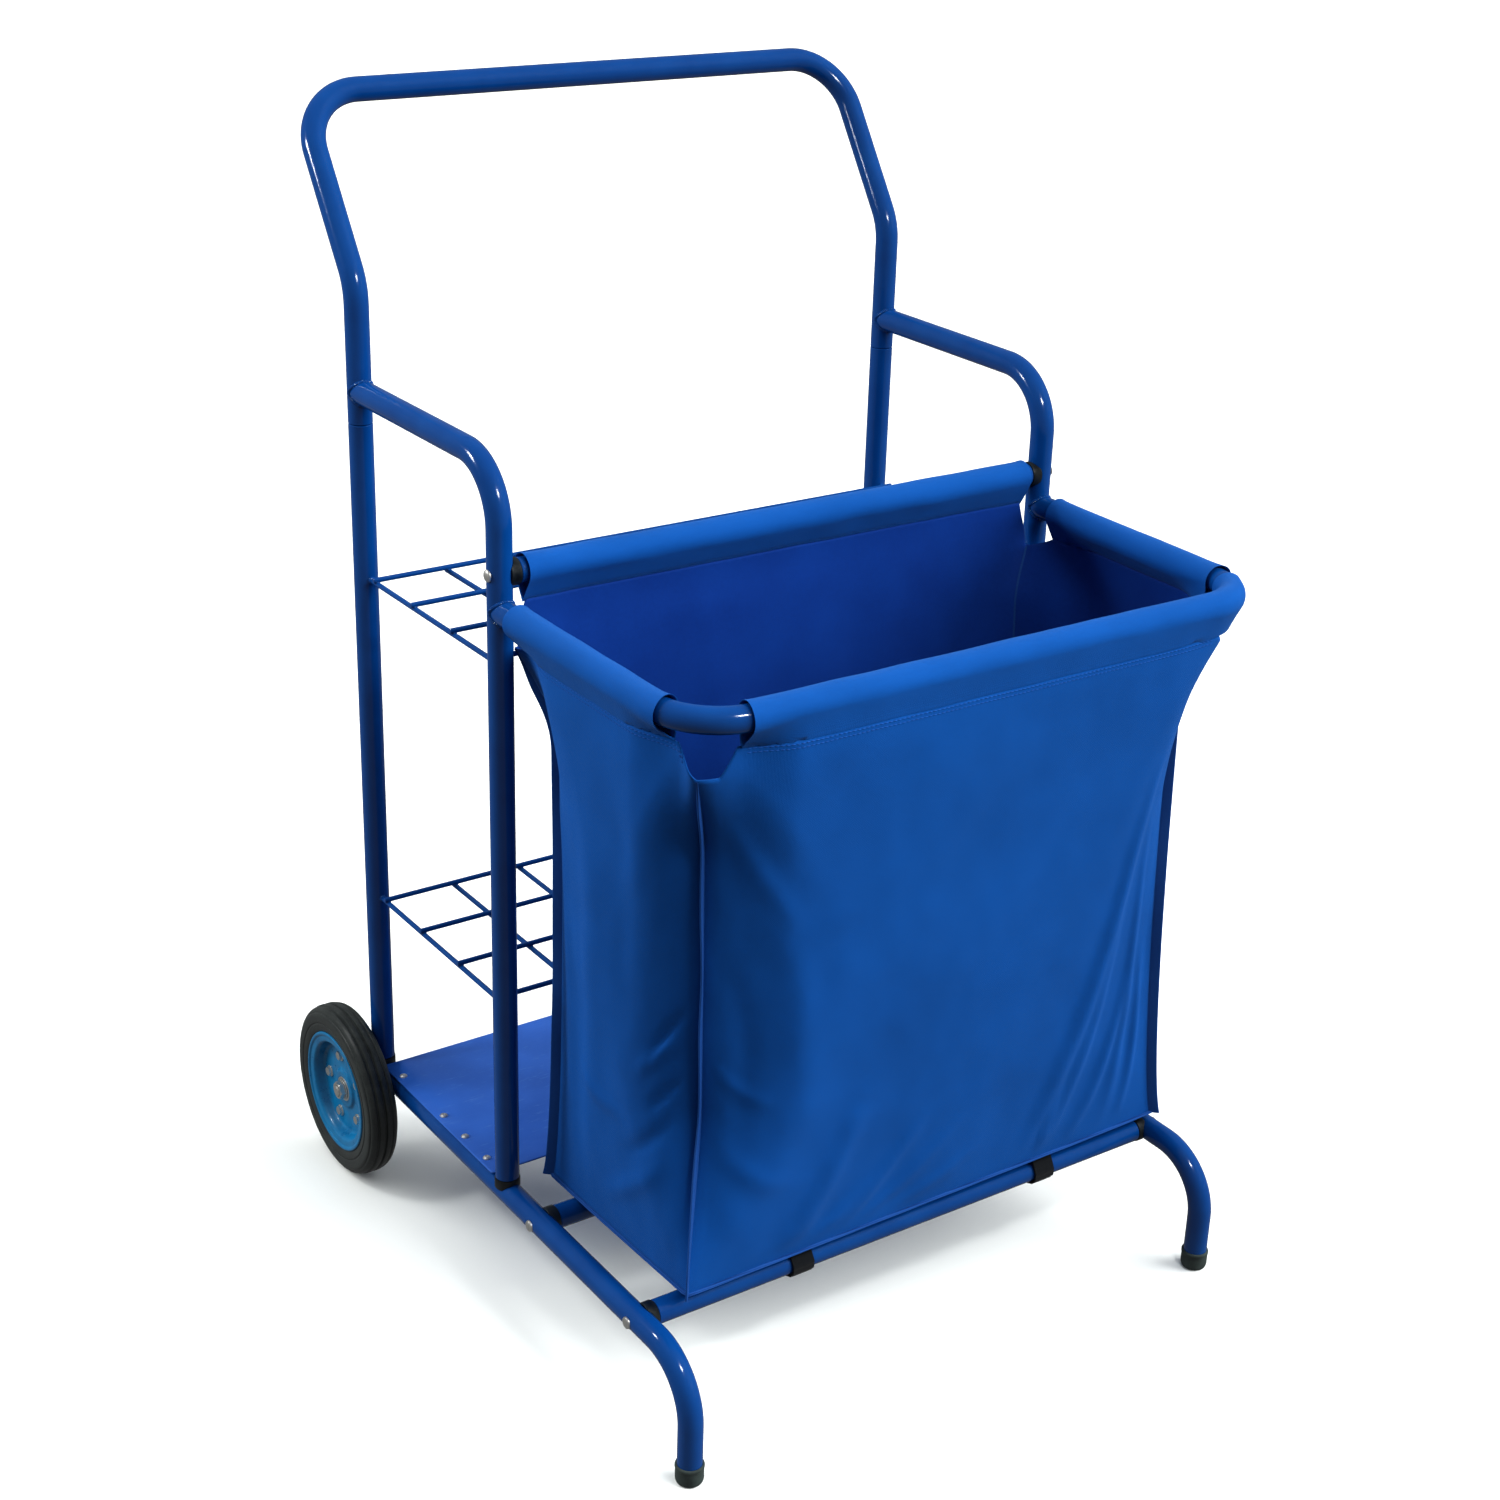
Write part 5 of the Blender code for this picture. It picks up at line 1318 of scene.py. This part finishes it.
def stitched_row(mesh, places, out):
    """Lockstitches along a line: short lengths of thread, each dipping into the cloth at its ends."""
    step = STITCH + STITCH_GAP
    travelled, target = 0.0, step / 2
    for before, after in zip(places, places[1:]):
        run = after - before
        heading = run.normalized()
        while run.length > 0 and travelled + run.length >= target:
            middle = before + heading * (target - travelled)
            rings = []
            for t in (-1, -0.7, 0, 0.7, 1):
                raised = THREAD_R * (0.9 - 1.5 * t * t)
                rings.append(add_ring(mesh, middle + heading * STITCH / 2 * t + out * raised,
                                      heading.cross(out), out, [THREAD_R] * 6))
            join_rings(mesh, rings)
            target += step
        travelled += run.length


thread = moulded("blue polyester thread", "#1C58A6", "#154A92", 0.7, 0.0004, 0.00003)
stitches = bmesh.new()
for panel, (_, _, outwards) in PANELS.items():
    outwards = outwards.to_3d()
    for drop in (HEM_TUCK + 0.0012, HEM_TUCK + 0.0052):
        places = []
        for k in range(121):
            s = 0.09 + 0.82 * k / 120
            point, _ = cloth_place(panel, s, drop / (panel_top(panel, s) - BAG_FLOOR_Z))
            places.append(point + outwards * (CLOTH * 0.55 + 0.0001))
        stitched_row(stitches, places, outwards)
finished("bag_hem_stitches", stitches, thread, crease=60)


# Straps. Two short bands of black hook-and-loop tape, sewn under the bag's floor. Each comes out
# under the front edge and is closed round the front bar, the loop side out, a little slack.

STRAP_TAPE = 0.0013
STRAP_R = TUBE_R + 0.0024
STRAP_FIRST, STRAP_TURN = math.radians(14), math.radians(196)


def hook_and_loop():
    """Loop side of hook-and-loop tape: black nylon fuzz of fine loops, rough and without gloss. The
    loops are 0.5 mm, drawn here as 1.1 mm so that they show."""
    tape = new_finish("black loop tape", IOR=1.5, Sheen_Weight=0.04, Sheen_Roughness=0.6)
    where = add_node(tape, "TexCoord", "Object")
    loops = add_node(tape, "TexVoronoi", "Distance", {"Vector": where, "Scale": 1 / 0.0011})
    fuzz = add_node(tape, "TexNoise", "Fac",
                    {"Vector": where, "Scale": 1 / 0.0006, "Detail": 4.0, "Roughness": 0.8})
    tone = add_node(tape, "Mix", 0, {0: 0.5, 2: loops, 3: fuzz})
    link_shader(
        tape,
        Base_Color=add_node(tape, "ValToRGB", "Color", {"Fac": tone}, [(0.2, "#05070A"), (0.8, "#12161B")]),
        Roughness=add_node(tape, "ValToRGB", "Color", {"Fac": fuzz}, [(0.3, 0.85), (0.7, 1.0)]),
        Normal=add_node(tape, "Bump", "Normal", {"Height": tone, "Distance": 0.0003}))
    return tape


loop_tape = hook_and_loop()
bar = BAR_AXES["front"]
for side, _ in SIDES:
    low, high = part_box(f"bag_strap_{side}")
    middle_x, half = (low.x + high.x) / 2, (high.x - low.x) / 2
    edge = cloth_place("front", (middle_x + HALF_TRACK) / (2 * HALF_TRACK), 1)[0]
    start = Vector((0, edge.y + 0.004, edge.z - 0.0022))
    path = [start.lerp(Vector((0, bar.y - STRAP_R, bar.z + 0.003)), k / 8) for k in range(8)]
    # Down the front of the bar, under it and up behind it.
    for k in range(46):
        turn = STRAP_FIRST - STRAP_TURN * k / 45
        radius = STRAP_R + 0.0003 * math.sin(k * 0.9)
        path.append(Vector((0, bar.y - radius * math.cos(turn), bar.z + radius * math.sin(turn))))
    strap = bmesh.new()
    rings = []
    for k, point in enumerate(path):
        heading = (path[min(k + 1, len(path) - 1)] - path[max(k - 1, 0)]).normalized()
        out = Vector((0, heading.z, -heading.y))
        skew = 0.0016 * math.sin(k / 53 * math.pi)
        ring = []
        for dx, raised in ((-half, -0.5), (-half + 0.0004, 0.5), (-half * 0.5, 0.56), (0, 0.58),
                           (half * 0.5, 0.56), (half - 0.0004, 0.5), (half, -0.5), (0, -0.5)):
            ring.append(strap.verts.new(
                point + Vector((middle_x + dx + skew, 0, 0)) + out * raised * STRAP_TAPE))
        rings.append(ring)
    join_rings(strap, rings, capped=True)
    finished(f"bar_strap_{side}", strap, loop_tape, replaced=[f"bag_strap_{side}"],
             crease=50)


# Camera, floor and light, set as for a catalogue picture: a seamless pale floor, three far lights so
# wide that they cast soft shadows, two small softboxes that the gloss mirrors as crisp spots, and a
# dim room.

# The camera's place, turns and lens are the ones that put the cart's own points where the
# photograph has them.
HEADING, TILT, ROLL = 0.609, 0.412, 0.031
camera_data = bpy.data.cameras.new("camera")
camera_data.lens = 58.77
camera_data.sensor_width = 36.0
camera = bpy.data.objects.new("camera", camera_data)
bpy.context.scene.collection.objects.link(camera)
ahead = Vector((math.sin(HEADING) * math.cos(TILT), math.cos(HEADING) * math.cos(TILT), -math.sin(TILT)))
level = Vector((math.cos(HEADING), -math.sin(HEADING), 0))
upward = level.cross(ahead)
right = level * math.cos(ROLL) + upward * math.sin(ROLL)
above = upward * math.cos(ROLL) - level * math.sin(ROLL)
camera.matrix_world = Matrix((right, above, -ahead)).transposed().to_4x4()
camera.location = (-1.3790, -1.9458, 1.5938)
bpy.context.scene.camera = camera

floor_mesh = bmesh.new()
bmesh.ops.create_grid(floor_mesh, x_segments=1, y_segments=1, size=40)
floor_data = bpy.data.meshes.new("studio_floor")
floor_mesh.to_mesh(floor_data)
floor_mesh.free()
floor = bpy.data.objects.new("studio_floor", floor_data)
bpy.context.scene.collection.objects.link(floor)
paper = new_finish("white paper floor", Roughness=0.9, Base_Color=srgb("#F0F4F2"))
floor_data.materials.append(paper)
# The floor doesn't show in the gloss and throws no light back, so the undersides stay as deep as on
# a stand in a dark studio.
floor.visible_glossy = False
floor.visible_diffuse = False


def softbox(name, place, aim, size, power):
    """Small rectangular diffused light, which the gloss mirrors."""
    data = bpy.data.lights.new(name, "AREA")
    data.shape = "RECTANGLE"
    data.size, data.size_y = size
    data.energy = power
    light = bpy.data.objects.new(name, data)
    bpy.context.scene.collection.objects.link(light)
    light.visible_camera = False
    light.location = place
    light.rotation_euler = (Vector(aim) - Vector(place)).to_track_quat("-Z", "Y").to_euler()


def far_light(name, towards, strength, spread):
    """Far light kept out of the gloss: the side it comes from, its strength, and its width in degrees."""
    data = bpy.data.lights.new(name, "SUN")
    data.energy = strength
    data.angle = math.radians(spread)
    light = bpy.data.objects.new(name, data)
    bpy.context.scene.collection.objects.link(light)
    light.rotation_euler = (-Vector(towards)).to_track_quat("-Z", "Y").to_euler()
    light.visible_glossy = False


far_light("overhead light", (0.10, 0.0, 1.0), 1.5, 110)
far_light("key light", (0.80, -0.62, 0.55), 4.2, 52)
far_light("rim light", (-0.75, 0.75, 0.35), 2.6, 40)
softbox("front softbox", (0.0, -1.6, 2.1), (0, 0, 0.6), (0.36, 0.24), 14)
softbox("back softbox", (-1.2, 0.6, 1.5), (0, 0, 0.6), (0.22, 0.18), 6)
world = bpy.data.worlds.new("room")
world.use_nodes = True
world.node_tree.nodes["Background"].inputs["Color"].default_value = srgb("#FFFFFF")
world.node_tree.nodes["Background"].inputs["Strength"].default_value = 0.20
bpy.context.scene.world = world
bpy.context.scene.view_settings.view_transform = "Standard"
bpy.context.scene.view_settings.look = "Medium High Contrast"
